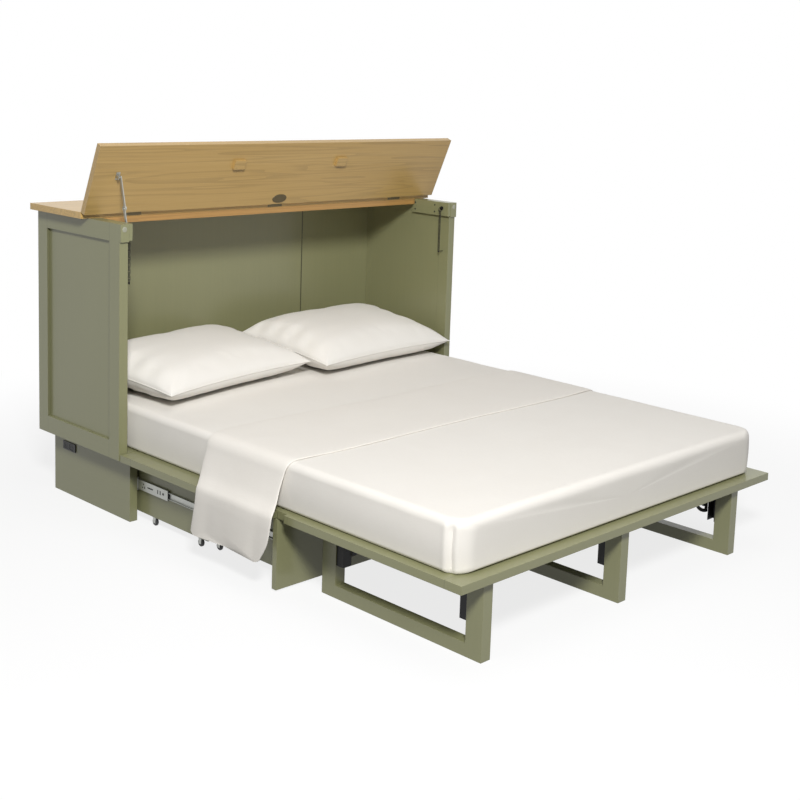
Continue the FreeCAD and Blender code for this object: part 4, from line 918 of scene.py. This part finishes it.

# An oak rail lies under the fixed top's front edge, between the two cleats; its oak is darkened as painted
# shade.
rail = soft_block((-0.7685, row_y(0.3365), 1.0242), (0.7685, row_y(0.3175), 1.0468), 0.0012, 25)
piece("oak_top_rail", *rail, oak_rail_painted_shade, "cabinet")
make_oval_plate(bronze)
make_bolt_caps(pale_cap)
make_chain("chain_links_left", "chain_left", "cabinet", blackened, -1)
make_chain("chain_links_right", "chain_right", "cabinet", blackened, 1)
make_outlet_faces(black_plastic, hole_painted_shade)
slide_fittings("first_slide_middles", "first_middle", 0.688, [
    (0.545, 0.006, 0.0030, 0.0022), (0.552, -0.005, 0.0022, 0.0040), (0.540, -0.006, 0.0030, 0.0022),
    (0.585, 0.0, 0.0160, 0.0022), (0.630, 0.0, 0.0022, 0.0070), (0.645, 0.0, 0.0022, 0.0070),
    (0.662, 0.0, 0.0040, 0.0040)])
slide_fittings("second_slide_middles", "second_middle", 1.102, [
    (0.960, 0.0, 0.0030, 0.0030), (1.000, 0.0, 0.0140, 0.0020), (1.060, 0.0, 0.0040, 0.0040)])

for hand, sign in (("left", -1), ("right", 1)):
    spots = [(sign * 0.7688, row_y(depth), level)
             for depth, level in ((0.340, 1.032), (0.340, 1.004), (0.455, 1.032), (0.455, 1.004))]
    make_screws("cleat_screws_" + hand, spots, (-sign, 0, 0), "cabinet", blackened, 0.0036)


# ---------------------------------------------------------------- floor, light and camera

def floor_finish():
    """Pale floor, plain white to the camera but for a soft shadow round the bed."""
    finish = Finish("pale_floor")
    rays = finish.tree.nodes.new("ShaderNodeLightPath")
    bounced = Value(finish, rays.outputs["Is Diffuse Ray"])
    finish.shade(Base_Color=finish.mix(bounced, rgb(0.86, 0.86, 0.86), rgb(0.14, 0.14, 0.13)),
                 Roughness=0.9, Specular_IOR_Level=0.1)
    glow = finish.tree.nodes.new("ShaderNodeEmission")
    seen = Value(finish, rays.outputs["Is Camera Ray"])
    seen = seen.largest(Value(finish, rays.outputs["Is Glossy Ray"]))
    away = finish.node("ShaderNodeVectorMath", {"operation": "LENGTH"}, {0: finish.place()}, out=1)
    both = finish.tree.nodes.new("ShaderNodeMixShader")
    finish.feed(both.inputs[0], seen * (0.80 + 0.20 * away.smooth(1.3, 2.8)))
    finish.tree.links.new(finish.shader.outputs[0], both.inputs[1])
    finish.tree.links.new(glow.outputs[0], both.inputs[2])
    output = finish.tree.nodes["Material Output"]
    finish.tree.links.new(both.outputs[0], output.inputs[0])
    return finish.material


side = np.array([[-30.0, -30.0], [30.0, -30.0], [30.0, 30.0], [-30.0, 30.0]])
floor = piece("studio_floor", np.hstack([side, np.full((4, 1), -0.0005)]),
              np.array([[0, 1, 2, 3]]), floor_finish(), tidy=False)

world = bpy.data.worlds.new("studio")
bpy.context.scene.world = world
world.use_nodes = True
tree = world.node_tree
background = tree.nodes["Background"]
rays = tree.nodes.new("ShaderNodeLightPath")
steps = []
for first, second in (("Is Camera Ray", "Is Glossy Ray"), (None, "Is Transmission Ray")):
    step = tree.nodes.new("ShaderNodeMath")
    step.operation = "MAXIMUM"
    tree.links.new(rays.outputs[first] if first else steps[-1].outputs[0], step.inputs[0])
    tree.links.new(rays.outputs[second], step.inputs[1])
    steps.append(step)
level = tree.nodes.new("ShaderNodeMapRange")
level.inputs["To Min"].default_value = 0.17
level.inputs["To Max"].default_value = 1.0
tree.links.new(steps[-1].outputs[0], level.inputs["Value"])
tree.links.new(level.outputs[0], background.inputs["Strength"])
background.inputs["Color"].default_value = (1.0, 1.0, 1.0, 1.0)


def lamp(name, place, target, size, power):
    """A square soft light that faces a point."""
    light = bpy.data.lights.new(name, "AREA")
    light.size = size
    light.energy = power
    made = bpy.data.objects.new(name, light)
    bpy.context.scene.collection.objects.link(made)
    made.location = place
    aim = Vector(target) - Vector(place)
    made.rotation_euler = aim.to_track_quat("-Z", "Y").to_euler()


lamp("overhead", (-0.2, -0.6, 4.2), (0.0, -0.1, 0.4), 2.6, 32)
lamp("front_left", (-3.3, -3.62, 3.81), (0.0, 0.1, 0.45), 0.9, 345)


CAMERA_PLACE = (-3.23163, -3.24466, 1.58579)
CAMERA_TURNS = (-46.1053, 8.327, 2.1295)
FOCAL_PIXELS = 1318.782
FRAME_CENTRE = (430, 265)
FRAME_PIXELS = 800
SENSOR = 36.0


def make_camera():
    """The camera from its place, its two turns, its roll and its frame's centre in pixels."""
    azimuth, elevation, roll = (math.radians(angle) for angle in CAMERA_TURNS)
    right = np.array([math.cos(azimuth), math.sin(azimuth), 0.0])
    back = np.array([math.sin(azimuth) * math.cos(elevation),
                     -math.cos(azimuth) * math.cos(elevation), math.sin(elevation)])
    up = np.cross(back, right)
    turned_right = math.cos(roll) * right + math.sin(roll) * up
    turned_up = -math.sin(roll) * right + math.cos(roll) * up
    view = Matrix(np.column_stack([turned_right, turned_up, back]).tolist()).to_4x4()
    view.translation = CAMERA_PLACE
    data = bpy.data.cameras.new("photo_view")
    data.sensor_width = SENSOR
    data.lens = SENSOR * FOCAL_PIXELS / FRAME_PIXELS
    data.shift_x = (FRAME_PIXELS / 2 - FRAME_CENTRE[0]) / FRAME_PIXELS
    data.shift_y = (FRAME_CENTRE[1] - FRAME_PIXELS / 2) / FRAME_PIXELS
    made = bpy.data.objects.new("photo_view", data)
    bpy.context.scene.collection.objects.link(made)
    made.matrix_world = view
    bpy.context.scene.camera = made


make_camera()
bpy.context.scene.view_settings.view_transform = "Standard"
